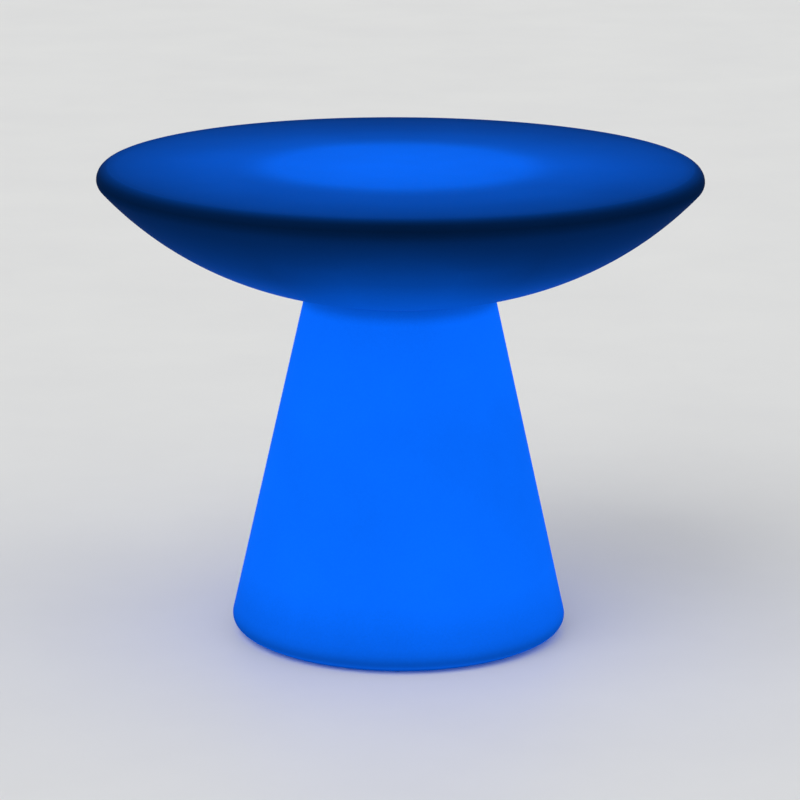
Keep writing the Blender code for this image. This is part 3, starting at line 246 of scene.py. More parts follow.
# Places on the two shells
GASKET_STACK = 0.002
NECK_Z = BASE_TOP_Z + GASKET_STACK
UNDER_Z = FOOT_Z + RING_HEIGHT
CEILING_Z = UNDER_Z + RECESS_DEPTH
RIM_CENTRE = Vector((TOP_RADIUS - RIM_ROUND, HEIGHT - RIM_ROUND))
NOSE_CENTRE = Vector((TOP_RADIUS - NOSE_ROUND, HEIGHT - RIM_ROUND))
BOWL_START = Vector((cos(BOWL_START_NORMAL), sin(BOWL_START_NORMAL)))
BOWL_CENTRE = NOSE_CENTRE - (BOWL_RADIUS - NOSE_ROUND) * BOWL_START
SIDE_LEAN = atan2(BASE_RADIUS - NECK_RADIUS, BASE_TOP_Z - UNDER_Z)
EDGE_REACH = (1 + sin(SIDE_LEAN)) / cos(SIDE_LEAN)
EDGE_CENTRE = Vector((BASE_RADIUS - EDGE_REACH * BASE_ROUND, UNDER_Z + BASE_ROUND))
RING_OUTER = BASE_RADIUS - RING_SETBACK
RING_INNER = RING_OUTER - RING_WIDTH
TRAY_RADIUS, _, TRAY_TOP_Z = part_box("module_tray")[1]
RECESS_RADIUS = TRAY_RADIUS + TRAY_CLEARANCE
PORT_RADIUS = RECESS_RADIUS - PORT_LEDGE
PORT_BOSS_RADIUS = PORT_RADIUS + PORT_BOSS_WIDTH

# Places in the module's own frame, whose origin is the middle of the tray's underside
MODULE_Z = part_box("module_seal")[0].z - GAP - TRAY_FLOOR
CUP_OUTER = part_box("diffuser_dome")[1].x
CUP_INNER = CUP_OUTER - CUP_WALL
CUP_TOP = TRAY_TOP_Z - MODULE_Z
PLATE_SEAT_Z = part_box("lamp_plate")[0].z - GAP - MODULE_Z
PIN_LOW, PIN_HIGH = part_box("cover_pin")
LUG_OUTER_Y = (PIN_HIGH.y - PIN_LOW.y) / 2
LUG_INNER_Y = LUG_OUTER_Y - LUG_THICKNESS
HINGE = (PIN_LOW + PIN_HIGH) / 2 - Vector((0, 0, MODULE_Z))

# Painted light of the lamp inside: the share given out as painted glow and the shares painted into the base
# colour, which sends light back, and how much the colour wanders
GLOW_SHARE = 0.78
BASE_PAINTED_LIGHT_RANGE = (0.2444, 0.2756)
CLOUD_SHARE = 0.03
GRAIN_SHARE = 0.03
SHEEN_LEVEL = 0.0002
SHEEN_TINT = (0.05, 0.24, 1)
CLOUD_RANGE = (0.3, 0.7)

# The lit plastic's painted light: its colour at a level of one, and its levels on the 8-bit display scale of
# blue.
# These are the painted light levels by radius on the flat top face, towards the front or back and towards the
# sides, from a bright middle to a darker rim.
LIT_TINT = (0.028, 0.418, 1)
FACE_STOPS = (
    (0, 244), (0.06, 242), (0.11, 236), (0.14, 229), (0.152, 221), (0.165, 207), (0.18, 192),
    (0.2, 181), (0.24, 173), (0.28, 160), (0.31, 150), (0.325, 141), (0.335, 126),
)
FACE_SIDE_STOPS = (
    (0, 244), (0.06, 242), (0.11, 239), (0.14, 235), (0.152, 226), (0.17, 209), (0.19, 198),
    (0.22, 192), (0.26, 181), (0.3, 169), (0.325, 158), (0.335, 142),
)
# The same painted light by height on the rim and down the dish's underside to the neck, darkest round the
# rim's edge
DISH_STOPS = (
    (0.4065, 205), (0.419, 202), (0.431, 195), (0.448, 182), (0.469, 156), (0.493, 131),
    (0.516, 105), (0.53, 84), (0.5375, 64), (0.543, 54), (0.549, 60), (0.5515, 77),
    (0.5535, 101), (0.5546, 122), (0.555, 131),
)
DISH_SIDE_STOPS = (
    (0.4065, 203), (0.431, 188), (0.448, 163), (0.465, 137), (0.48, 121), (0.5, 104),
    (0.516, 92), (0.53, 81), (0.5375, 69), (0.542, 61), (0.547, 72), (0.55, 87),
    (0.552, 102), (0.5535, 111), (0.5546, 125), (0.555, 143),
)
# The same painted light by height up the base's side, with painted shade just under the dish and over the
# rounded foot, and by radius under the base, darker towards the middle
BASE_STOPS = (
    (0.0005, 183), (0.0025, 195), (0.0045, 205), (0.0065, 214), (0.0076, 213), (0.009, 204),
    (0.0105, 192), (0.0125, 189), (0.0145, 193), (0.0185, 209), (0.0225, 223), (0.03, 234),
    (0.045, 241), (0.06, 249), (0.08, 255), (0.25, 255), (0.33, 261), (0.387, 260),
    (0.391, 250), (0.3945, 236), (0.3985, 217), (0.4045, 202),
)
UNDER_STOPS = (
    (0.077, 112), (0.094, 146), (0.1, 192), (0.12, 226), (0.15, 230), (0.165, 210), (0.171, 194),
)
UNDER_TOP_Z = 0.04

# The face's painted light pattern is turned this far about the axis, clockwise from above
FACE_TWIST = radians(5)
# It sits a little forward: by how much, how much more at the back, where that fades and what is left of it
FACE_SHIFT = 0.013
FACE_SHIFT_BACK = 0.005
FACE_SHIFT_END = 0.3
FACE_SHIFT_LEFT = 0.5
# Angles round from the front between which the face takes its side painted light, and loses it again
FACE_TURN_IN = (radians(52), radians(90))
FACE_TURN_OUT = (radians(157), radians(100))
# Painted shade makes it a little darker at the back: by how much, from which share of the way back, and over
# which radii that grows and fades
FACE_DIP = 0.12
FACE_DIP_SHARE = 0.3
FACE_DIP_IN = (0.19, 0.235)
FACE_DIP_OUT = (0.33, 0.28)
# Angles from the front or back between which the dish takes its side painted light and shade, and the heights
# these hold at
SIDE_START = radians(13)
SIDE_START_HEIGHTS = (0.485, 0.512)
SIDE_TURN = (radians(30), radians(85))
SIDE_TURN_HEIGHTS = (0.52, 0.548)

# Moulded plastics and rubbers: colour, roughness, how far the tone wanders, the grain's scale and strength,
# and how much they shine
MOULDED = {
    "white_abs": ((0.78, 0.79, 0.8), 0.42, 0.04),
    "black_rubber": ((0.028, 0.028, 0.03), 0.78, 0.2, 700, 0.3, 0.3),
    "cell_wrap": ((0.05, 0.28, 0.12), 0.35, 0.08, 300, 0.06),
    "black_plastic": ((0.03, 0.03, 0.034), 0.45, 0.15),
    "lead_red": ((0.45, 0.03, 0.03), 0.5),
    "lead_black": ((0.03, 0.03, 0.03), 0.5),
}
# Metals: colour, roughness and how the tool lines run
METALS = {
    "stainless_steel": ((0.6, 0.6, 0.61), 0.3),
    "brass": ((0.72, 0.5, 0.22), 0.34),
    "plate_aluminium": ((0.78, 0.79, 0.8), 0.36, (30, 1, 1)),
}
# Every material by its name, filled as they are made
MATERIALS = {}

# Camera, from the table's outline in the photograph
CAMERA_PLACE = (0, -3.889, 1.2347)
CAMERA_PITCH = radians(13.87)
CAMERA_ROLL = radians(0.27)
CAMERA_LENS_MM = 153.8
CAMERA_SHIFT = 0.0006

# Floor, backdrop and sky
FLOOR_HALF = 14
FLOOR_COLOURS = ((0.8, 0.8, 0.79), (0.77, 0.77, 0.765))
BACKDROP_COLOUR = (0.716, 0.721, 0.719)
SKY_COLOUR = (0.93, 0.94, 0.95)
SKY_STRENGTH = 0.62

# Soft lamps, each so wide that its shadow fades out: where it shines from, its strength and its width
LAMPS = {
    "key": (Vector((-0.5, -0.6, 0.8)), 1.1, radians(50)),
    "fill": (Vector((0.7, -0.3, 0.6)), 0.45, radians(70)),
}


def lit(level):
    """The lit plastic's painted light as a linear colour, at a level of its blue."""
    shares = [level * share / 255 for share in LIT_TINT]
    return [s / 12.92 if s <= 0.04045 else ((s + 0.055) / 1.055) ** 2.4 for s in shares]


class Nodes:
    """Short calls that add nodes to the tree of a material or world."""

    def __init__(self, owner):
        owner.use_nodes = True
        self.tree = owner.node_tree

    def put(self, socket, value):
        if isinstance(value, bpy.types.NodeSocket):
            self.tree.links.new(value, socket)
        else:
            socket.default_value = (*value, 1) if socket.type == "RGBA" else value

    def add(self, kind, inputs=(), **settings):
        node = self.tree.nodes.new(f"ShaderNode{kind}")
        for name, value in settings.items():
            setattr(node, name, value)
        for key, value in dict(inputs).items():
            self.put(node.inputs[key], value)
        return node

    def maths(self, operation, *values):
        return self.add("Math", enumerate(values), operation=operation).outputs[0]

    def times(self, product, *values):
        for value in values:
            product = self.maths("MULTIPLY", product, value)
        return product


class Look(Nodes):
    """One material, with its detail in its object's own space."""

    def __init__(self, name, roughness, metallic=0, specular=0.5):
        MATERIALS[name] = bpy.data.materials.new(name)
        super().__init__(MATERIALS[name])
        self.shader = self.tree.nodes["Principled BSDF"]
        self.feed("Roughness", roughness)
        self.feed("Metallic", metallic)
        self.feed("Specular IOR Level", specular)
        self.place = self.add("TexCoord").outputs["Object"]

    def feed(self, name, value):
        self.put(self.shader.inputs[name], value)

    def between(self, value, low, high, to_low=0, to_high=1):
        inputs = {"Value": value, "From Min": low, "From Max": high, "To Min": to_low, "To Max": to_high}
        return self.add("MapRange", inputs).outputs[0]

    def noise(self, scale, detail=2, roughness=0.5, place=None):
        inputs = {"Vector": place or self.place, "Scale": scale, "Detail": detail, "Roughness": roughness}
        return self.add("TexNoise", inputs).outputs[0]

    def ramp(self, factor, *stops):
        """The colour at this factor, from stops of (position, colour)."""
        node = self.add("ValToRGB", {"Fac": factor})
        elements = node.color_ramp.elements
        for position, colour in stops[1:-1]:
            elements.new(position).color = (*colour, 1)
        for i in (0, -1):
            elements[i].position, elements[i].color = stops[i][0], (*stops[i][1], 1)
        return node.outputs[0]

    def lit_along(self, value, stops):
        """The painted light's colour along a length, from stops of (length, level)."""
        low, high = stops[0][0], stops[-1][0]
        shares = [((length - low) / (high - low), lit(level)) for length, level in stops]
        return self.ramp(self.between(value, low, high), *shares)

    def mix(self, factor, a, b):
        return self.add("Mix", {0: factor, 6: a, 7: b}, data_type="RGBA").outputs[2]

    def scaled(self, colour, factor):
        """The colour times a number."""
        return self.add("VectorMath", {0: colour, "Scale": factor}, operation="SCALE").outputs[0]

    def bump(self, height, strength, distance, under=None):
        inputs = {"Height": height, "Strength": strength, "Distance": distance}
        return self.add("Bump", inputs | ({"Normal": under} if under else {})).outputs[0]

    def skin(self, height, strength, distance, under=None):
        self.feed("Normal", self.bump(height, strength, distance, under))

    def glow(self, colour, strength):
        self.feed("Emission Color", colour)
        self.feed("Emission Strength", strength)


def lit_plastic(name, pick_painted_light):
    """Translucent plastic whose light from the lamp inside is painted on as a glow and into its base colour,
    with a faint cloud and a fine grain.
    """
    look = Look(name, 0.46, specular=SHEEN_LEVEL)
    look.feed("Specular Tint", SHEEN_TINT)
    x, y, height = look.add("SeparateXYZ", {"Vector": look.place}).outputs
    radius = look.maths("SQRT", look.maths("ADD", look.times(x, x), look.times(y, y)))
    to_right, to_back = (look.maths("DIVIDE", axis, radius) for axis in (x, y))
    # The lamp inside's painted light, by place on the shell
    colour = pick_painted_light(look, radius, height, to_right, to_back)

    cloud = look.noise(7, 3, 0.55)
    grain = look.noise(420, 2, 0.6)
    wander = look.between(cloud, *CLOUD_RANGE, 1 - CLOUD_SHARE, 1 + CLOUD_SHARE)
    speck = look.between(grain, *CLOUD_RANGE, 1 - GRAIN_SHARE, 1 + GRAIN_SHARE)
    colour = look.scaled(colour, look.times(wander, speck))
    # Painted glow, and the same painted light scaled down into the base colour
    look.glow(colour, GLOW_SHARE)
    look.feed("Base Color", look.scaled(colour, look.between(cloud, *CLOUD_RANGE, *BASE_PAINTED_LIGHT_RANGE)))
    look.feed("Roughness", look.between(grain, 0, 1, 0.42, 0.54))
    peel = look.bump(look.noise(90), 0.1, 0.0006)
    look.skin(look.noise(950, 2, 0.6), 0.22, 0.00025, peel)


def dish_painted_light(look, radius, height, to_right, to_back):
    # Painted light and shade of the lamp inside, on the rim and bowl, changing towards the sides
    to_side = look.maths("ARCCOSINE", look.maths("ABSOLUTE", to_back))
    start = look.between(height, *SIDE_START_HEIGHTS, SIDE_START, 0)
    full = look.between(height, *SIDE_TURN_HEIGHTS, *SIDE_TURN)
    turn = look.between(to_side, start, full)
    side = look.mix(turn, look.lit_along(height, DISH_STOPS), look.lit_along(height, DISH_SIDE_STOPS))

    # The face's painted light spot, set forward and turned, with side painted light
    twisted = look.times(to_back, cos(FACE_TWIST))
    to_back = look.maths("MULTIPLY_ADD", to_right, sin(FACE_TWIST), twisted)
    push = look.maths("MULTIPLY_ADD", to_back, FACE_SHIFT_BACK, FACE_SHIFT)
    fade = look.between(radius, FACE_SHIFT_END, RIM_CENTRE.x, 1, FACE_SHIFT_LEFT)
    along = look.maths("ADD", radius, look.times(to_back, push, fade))
    around = look.maths("ARCCOSINE", look.times(to_back, -1))
    turn = look.times(look.between(around, *FACE_TURN_IN), look.between(around, *FACE_TURN_OUT))
    face = look.mix(turn, look.lit_along(along, FACE_STOPS), look.lit_along(along, FACE_SIDE_STOPS))
    # Painted shade, a little darker at the back of the face
    at_back = look.between(to_back, FACE_DIP_SHARE, 1, 0, FACE_DIP)
    back_shade = look.times(look.between(radius, *FACE_DIP_IN), look.between(radius, *FACE_DIP_OUT), at_back)
    face = look.scaled(face, look.maths("SUBTRACT", 1, back_shade))
    return look.mix(look.maths("GREATER_THAN", height, HEIGHT - PLACE_MARGIN), side, face)


def base_painted_light(look, radius, height, *_):
    # Painted light and shade up the side, and painted light under the base inside the foot ring
    inside_ring = look.maths("LESS_THAN", radius, RING_INNER + GAP / 2)
    under = look.times(inside_ring, look.maths("LESS_THAN", height, UNDER_TOP_Z))
    return look.mix(under, look.lit_along(height, BASE_STOPS), look.lit_along(radius, UNDER_STOPS))


def moulded(name, colour, roughness, wander=0.1, grain_scale=900, grain=0.15, specular=0.5):
    """Moulded plastic or rubber, slightly uneven in colour and gloss."""
    look = Look(name, roughness, specular=specular)
    cloud = look.noise(60, 3, 0.6)
    fine = look.noise(grain_scale, 2, 0.6)
    shade = look.between(cloud, 0.25, 0.75, 1 - wander, 1 + wander)
    look.feed("Base Color", look.scaled(look.mix(fine, colour, [c * 0.92 for c in colour]), shade))
    look.feed("Roughness", look.between(cloud, 0, 1, roughness - 0.06, roughness + 0.08))
    look.skin(fine, grain, 0.0002)


def worked_metal(name, colour, roughness, along=(1, 1, 40)):
    """Slightly uneven metal with fine tool lines across one axis."""
    look = Look(name, roughness, metallic=1)
    stretched = look.add("Mapping", {"Vector": look.place, "Scale": along}).outputs[0]
    lines = look.noise(120, 3, 0.7, stretched)
    shade = look.between(look.times(lines, look.noise(45, 3, 0.6)), 0.1, 0.45, 0.9, 1.06)
    look.feed("Base Color", look.scaled(look.mix(lines, colour, [c * 0.9 for c in colour]), shade))
    look.feed("Roughness", look.between(lines, 0, 1, roughness - 0.08, roughness + 0.12))
    look.skin(lines, 0.12, 0.0001)


def circuit_board():
    """Green solder mask with faint copper tracks."""
    look = Look("circuit_board", 0.38)
    bricks = {"Vector": look.place, "Scale": 240, "Mortar Size": 0.06}
    tracks = look.add("TexBrick", bricks).outputs["Fac"]
    faint = look.mix(tracks, (0.012, 0.17, 0.065), (0.03, 0.26, 0.1))
    look.feed("Base Color", look.scaled(faint, look.between(look.noise(80), 0.25, 0.75, 0.9, 1.1)))
    look.skin(tracks, 0.2, 0.00005)


def backlit(name, roughness, cloud, base, glow, strength, fine=None, specular=0.5):
    """Plastic with light behind it, shown as a glow: painted glow where it is no lamp itself. Its colour and
    glow each wander between two.
    """
    look = Look(name, roughness, specular=specular)
    cloud = look.noise(*cloud)
    look.feed("Base Color", look.ramp(cloud, *zip(CLOUD_RANGE, base)))
    look.glow(look.ramp(cloud, *zip(CLOUD_RANGE, glow)), strength)
    if fine:
        scale, height, depth = fine
        look.skin(look.noise(scale, 2, 0.6), height, depth)


for name, values in MOULDED.items():
    moulded(name, *values)
for name, values in METALS.items():
    worked_metal(name, *values)
lit_plastic("dish_plastic", dish_painted_light)
lit_plastic("base_plastic", base_painted_light)
circuit_board()
# Painted glow on the cap, for the emitters' light through it
backlit(
    "frosted_dome", 0.6, cloud=(40, 3, 0.5), base=((0.72, 0.76, 0.86), (0.82, 0.86, 0.93)),
    glow=((0.02, 0.16, 0.9), (0.03, 0.2, 1)), strength=0.6, fine=(1400, 0.3, 0.0001),
)
# Painted blue glow on the gasket and seal, for the lit shells' light in the seams
backlit(
    "silicone", 0.6, cloud=(60, 3, 0.6), base=((0.02, 0.05, 0.2), (0.03, 0.07, 0.26)),
    glow=(lit(176), lit(192)), strength=0.9, fine=(800, 0.2, 0.0002), specular=0.1,
)
backlit(
    "emitter", 0.18, cloud=(500, 2, 0.5), base=((0.9, 0.85, 0.55), (0.95, 0.92, 0.72)),
    glow=((0.01, 0.16, 1), (0.03, 0.24, 1)), strength=0.9,
)
backlit(
    "lens_clear", 0.08, cloud=(300, 2, 0.5), base=((0.62, 0.72, 0.82), (0.74, 0.82, 0.9)),
    glow=((0.01, 0.12, 0.7), (0.02, 0.2, 0.9)), strength=0.5,
)


def mesh_of(shape, name):
    """The shape as a mesh, smooth over gentle edges only. A mesh stays as it is."""
    if isinstance(shape, bpy.types.Mesh):
        return shape
    bmesh.ops.recalc_face_normals(shape, faces=shape.faces)
    mesh = bpy.data.meshes.new(name)
    shape.to_mesh(mesh)
    shape.free()
    mesh.shade_smooth()
    mesh.set_sharp_from_angle(angle=SMOOTH_ANGLE)
    return mesh


def shown(name, data):
    obj = bpy.data.objects.new(name, data)
    SCENE.collection.objects.link(obj)
    return obj


def turned(outline, segments=SMALL_SEGMENTS):
    """A solid of rings about Z from (radius, height) points: a closed loop, or a line from axis to axis.

    A radius may be a function of the angle, as a hexagon's is.
    """
    bm = bmesh.new()
    angles = [FULL_TURN * i / segments for i in range(segments)]
    rings = []
    for radius, z in outline:
        reach = radius if callable(radius) else lambda _, r=radius: r
        around = angles if radius else angles[:1]
        rings.append([bm.verts.new((reach(a) * cos(a), reach(a) * sin(a), z)) for a in around])
    pairs = list(zip(rings, rings[1:]))
    if len(rings[0]) > 1:
        pairs.append((rings[-1], rings[0]))
    for low, high in pairs:
        for i in range(segments):
            j = (i + 1) % segments
            corners = (low[i % len(low)], low[j % len(low)], high[j % len(high)], high[i % len(high)])
            bm.faces.new(dict.fromkeys(corners))
    return bm


def arc(centre, radius, start, end, steps):
    """Points on an arc after its start, up to its end."""
    angles = [start + (end - start) * i / steps for i in range(1, steps + 1)]
    return [(centre[0] + radius * cos(a), centre[1] + radius * sin(a)) for a in angles]


def eased(outline, ease=EDGE_EASE):
    """The outline with each sharp corner off the axis rounded."""
    points = [Vector(p) for p in outline]
    result = []
    for i, corner in enumerate(points):
        before, after = points[i - 1] - corner, points[(i + 1) % len(points)] - corner
        if not corner.x or pi - before.angle(after) < SMOOTH_ANGLE:
            result.append(tuple(corner))
            continue
        sides = (before, after)
        start, end = (corner + min(ease, EASE_ROOM_SHARE * v.length) * v.normalized() for v in sides)
        for step in range(EASE_STEPS + 1):
            t = step / EASE_STEPS
            result.append(tuple(start.lerp(corner, t).lerp(corner.lerp(end, t), t)))
    return result


def rod(radius, low, high, ease=EDGE_EASE, segments=SMALL_SEGMENTS):
    """An upright cylinder, with rounded edges."""
    outline = [(0, low), (radius, low), (radius, high), (0, high)]
    return turned(eased(outline, ease) if ease else outline, segments)


def prism(outline, low, high, ease=EDGE_EASE):
    """An upright solid over an (x, y) outline, with its sharp edges rounded."""
    bm = bmesh.new()
    floor = bm.faces.new([bm.verts.new((x, y, low)) for x, y in outline])
    raised = bmesh.ops.extrude_face_region(bm, geom=[floor])["geom"]
    verts = [item for item in raised if isinstance(item, bmesh.types.BMVert)]
    bmesh.ops.translate(bm, verts=verts, vec=(0, 0, high - low))
    bmesh.ops.recalc_face_normals(bm, faces=bm.faces)
    sharp = [e for e in bm.edges if e.is_manifold and e.calc_face_angle() > SMOOTH_ANGLE]
    bmesh.ops.bevel(bm, geom=sharp, offset=ease, segments=EASE_STEPS, profile=0.5, affect="EDGES")
    return bm


def block(low, high, ease=EDGE_EASE):
    """A box between two corners, with rounded edges."""
    corners = ((low[0], low[1]), (high[0], low[1]), (high[0], high[1]), (low[0], high[1]))
    return prism(corners, low[2], high[2], ease)


def add_cylinder(bm, radius, low, high, at=(0, 0), segments=SMALL_SEGMENTS):
    """Adds an upright cylinder between two heights."""
    sizes = {"radius1": radius, "radius2": radius, "depth": high - low}
    place = Matrix.Translation((*at, (low + high) / 2))
    bmesh.ops.create_cone(bm, cap_ends=True, segments=segments, matrix=place, **sizes)


def moved(bm, *place):
    bmesh.ops.translate(bm, verts=bm.verts, vec=place)
    return bm


def spun(bm, turn):
    bmesh.ops.transform(bm, matrix=turn, verts=bm.verts)
    return bm


def cross_cylinder(radius, half_length, ease=0):
    """A cylinder along Y about the origin."""
    return spun(rod(radius, -half_length, half_length, ease), UP_TO_BACK)


def joined(*shapes):
    """One bmesh that holds all the shapes, which may overlap a little."""
    whole = bmesh.new()
    for shape in shapes:
        whole.from_mesh(mesh_of(shape, "shape"))
    return whole


def final_mesh(obj):
    """The object's mesh, modifiers applied and doubled points merged. The object goes."""
    name, graph = obj.name, bpy.context.evaluated_depsgraph_get()
    bm = bmesh.new()
    bm.from_mesh(bpy.data.meshes.new_from_object(obj.evaluated_get(graph)))
    bmesh.ops.remove_doubles(bm, verts=bm.verts, dist=MERGE_DISTANCE)
    bmesh.ops.dissolve_degenerate(bm, edges=bm.edges, dist=MERGE_DISTANCE)
    bpy.data.objects.remove(obj)
    return mesh_of(bm, name)


def dome(radius, foot, top):
    """A dome's centre, its sphere's radius, and its points from the foot to the axis."""
    sphere = (radius**2 + (top - foot) ** 2) / (2 * (top - foot))
    centre = (0, top - sphere)
    points = arc(centre, sphere, acos(radius / sphere), QUARTER, NOSE_STEPS)[:-1]
    return centre, sphere, [(radius, foot), *points, (0, top)]


def combined(shape, tools, operation="DIFFERENCE"):
    """The mesh of the shape, less the tools or with them."""
    target, tool = (shown("shape", mesh_of(form, "shape")) for form in (shape, tools))
    modifier = target.modifiers.new("combine", "BOOLEAN")
    modifier.operation = operation
    modifier.object = tool
    result = final_mesh(target)
    bpy.data.objects.remove(tool)
    return result


def wire(points, radius):
    """A round wire along these points."""
    curve = bpy.data.curves.new("wire", "CURVE")
    curve.dimensions = "3D"
    curve.bevel_depth = radius
    curve.bevel_resolution = WIRE_ROUND
    curve.use_fill_caps = True
    spline = curve.splines.new("POLY")
    spline.points.add(len(points) - 1)
    for slot, point in zip(spline.points, points):
        slot.co = (*point, 1)
    return final_mesh(shown("wire", curve))


def middle(node):
    """The place of a node on the floor plane."""
    low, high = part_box(node)
    return ((low.x + high.x) / 2, (low.y + high.y) / 2)


def size(node):
    """Half the width of a node, and its height."""
    low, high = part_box(node)
    return (high.x - low.x) / 2, high.z - low.z


def each(prefix):
    """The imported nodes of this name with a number, in order."""
    return sorted(node for node in frame["nodes"] if node.rpartition("_")[0] == prefix)


def cutters(prefix, low, high=None, radius=None):
    """Cylinders that cut holes for these nodes, by default to just over their tops."""
    cuts = bmesh.new()
    for node in each(prefix):
        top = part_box(node)[1].z + GAP if high is None else high
        add_cylinder(cuts, radius or size(node)[0] + GAP, low - OVERRUN, top, middle(node))
    return cuts


def piece(name, shape, slot, *nodes, body="table", place=(0, 0, 0), look=None, accent=None):
    """A visible piece that stands for these nodes and rides on their body.

    An accent is a second material's name and a test of a face's middle for it.
    """
    mesh = mesh_of(shape, name)
    mesh.name = name
    obj = shown(name, mesh)
    obj.location = place
    mesh.materials.clear()
    mesh.materials.append(MATERIALS[look or slot])
    if accent:
        second, belongs = accent
        mesh.materials.append(MATERIALS[second])
        for face in mesh.polygons:
            face.material_index = int(belongs(face.center))
    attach(obj, body)
    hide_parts(*nodes)
    return obj


def fine_piece(*details, **options):
    """A small piece, whose faces stay flat beside rounded edges."""
    obj = piece(*details, **options)
    obj.modifiers.new("flat_faces", "WEIGHTED_NORMAL").keep_sharp = True
    return obj


def fine_pieces(name, prefix, shape, slot, rise=0, **options):
    """The same piece at each of these nodes, this far over its underside."""
    mesh = mesh_of(shape, name)
    for i, node in enumerate(each(prefix)):
        place = (*middle(node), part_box(node)[0].z + rise)
        fine_piece(f"{name}_{i + 1}", mesh.copy(), slot, node, place=place, **options)


def dish():
    """The dish top, with its rim, bowl, floor ring and spigot."""
    inner_bowl = BOWL_RADIUS - WALL
    neck_normal = -acos((NECK_RADIUS - BOWL_CENTRE.x) / BOWL_RADIUS)
    boss_normal = -acos((NECK_BOSS_RADIUS - BOWL_CENTRE.x) / inner_bowl)
    spigot_inner = SPIGOT_OUTER - WALL
    boss_z = NECK_Z + NECK_BOSS_HEIGHT
    outline = [
        (0, HEIGHT), (FACE_RING_RADIUS, HEIGHT), (RIM_CENTRE.x, HEIGHT),
        *arc(RIM_CENTRE, RIM_ROUND, QUARTER, 0, RIM_STEPS),
        *arc(NOSE_CENTRE, NOSE_ROUND, 0, BOWL_START_NORMAL, NOSE_STEPS),
        *arc(BOWL_CENTRE, BOWL_RADIUS, BOWL_START_NORMAL, neck_normal, BOWL_STEPS),
        (SPIGOT_OUTER, NECK_Z), (SPIGOT_OUTER, TOP_LOW.z), (spigot_inner, TOP_LOW.z),
        (spigot_inner, boss_z), (NECK_BOSS_RADIUS, boss_z),
        (NECK_BOSS_RADIUS, BOWL_CENTRE.y + inner_bowl * sin(boss_normal)),
        *arc(BOWL_CENTRE, inner_bowl, boss_normal, BOWL_START_NORMAL, INNER_STEPS),
        *arc(NOSE_CENTRE, NOSE_ROUND - WALL, BOWL_START_NORMAL, 0, NOSE_STEPS // 2),
        *arc(RIM_CENTRE, RIM_ROUND - WALL, 0, QUARTER, RIM_STEPS // 2),
        (0, HEIGHT - WALL),
    ]
    shell = combined(turned(outline, SHELL_SEGMENTS), cutters("neck_insert", NECK_Z))
    piece("dish", shell, "lit_shell", "top_shell", look="dish_plastic")


def base():
    """The tapered base, with its lip, rounded lower edge, notched foot ring, recess and port."""
    tangent = EDGE_CENTRE + BASE_ROUND * Vector((cos(SIDE_LEAN), sin(SIDE_LEAN)))
    lip_under_z = BASE_TOP_Z - WALL
    boss_z = CEILING_Z + PORT_BOSS_HEIGHT
    inner_foot = BASE_RADIUS - WALL / cos(SIDE_LEAN)
    inner_neck = inner_foot - tan(SIDE_LEAN) * (lip_under_z - UNDER_Z)
    recess_edge, recess_outer = RECESS_RADIUS + RECESS_ROUND, RECESS_RADIUS + WALL
    outline = [
        (LIP_RADIUS, BASE_TOP_Z), (NECK_RADIUS, BASE_TOP_Z), tuple(tangent),
        *arc(EDGE_CENTRE, BASE_ROUND, SIDE_LEAN, -QUARTER, RIM_STEPS),
        (RING_OUTER, UNDER_Z), (RING_OUTER, FOOT_Z + RING_CHAMFER),
        (RING_OUTER - RING_CHAMFER, FOOT_Z), (RING_INNER, FOOT_Z),
        (RING_INNER, UNDER_Z), (recess_edge, UNDER_Z),
        *arc((recess_edge, UNDER_Z + RECESS_ROUND), RECESS_ROUND, -QUARTER, -pi, NOSE_STEPS),
        (RECESS_RADIUS, CEILING_Z), (PORT_RADIUS, CEILING_Z), (PORT_RADIUS, boss_z),
        (PORT_BOSS_RADIUS, boss_z), (PORT_BOSS_RADIUS, CEILING_Z + WALL),
        (recess_outer, CEILING_Z + WALL), (recess_outer, UNDER_Z + WALL), (EDGE_CENTRE.x, UNDER_Z + WALL),
        *arc(EDGE_CENTRE, BASE_ROUND - WALL, -QUARTER, SIDE_LEAN, RIM_STEPS // 2),
        (inner_neck, lip_under_z), (LIP_RADIUS, lip_under_z),
    ]
    near = (RING_INNER - OVERRUN, -NOTCH_WIDTH / 2, FOOT_Z - OVERRUN)
    far = (RING_OUTER + OVERRUN, NOTCH_WIDTH / 2, FOOT_Z + NOTCH_HEIGHT)
    notch = spun(block(near, far, NOTCH_EASE), Matrix.Rotation(NOTCH_ANGLE, 4, "Z"))
    cuts = joined(
        cutters("neck_bolt", lip_under_z, BASE_TOP_Z + OVERRUN, SCREW_HOLES["neck_bolt"]),
        cutters("module_insert", CEILING_Z),
        cutters("foot_pad", FOOT_Z, FOOT_Z + PAD_POCKET_DEPTH),
        notch,
    )
    shell = combined(turned(outline, SHELL_SEGMENTS), cuts)
    piece("base", shell, "lit_shell", "base_shell", look="base_plastic")


def holed_ring(name, node, bore, screw):
    """A flat ring with a hole for each screw."""
    low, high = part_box(node)
    section = [(bore, low.z), (high.x, low.z), (high.x, high.z), (bore, high.z)]
    holes = cutters(screw, low.z, high.z + OVERRUN, SCREW_HOLES[screw])
    fine_piece(name, combined(turned(eased(section), SHELL_SEGMENTS), holes), "silicone", node)


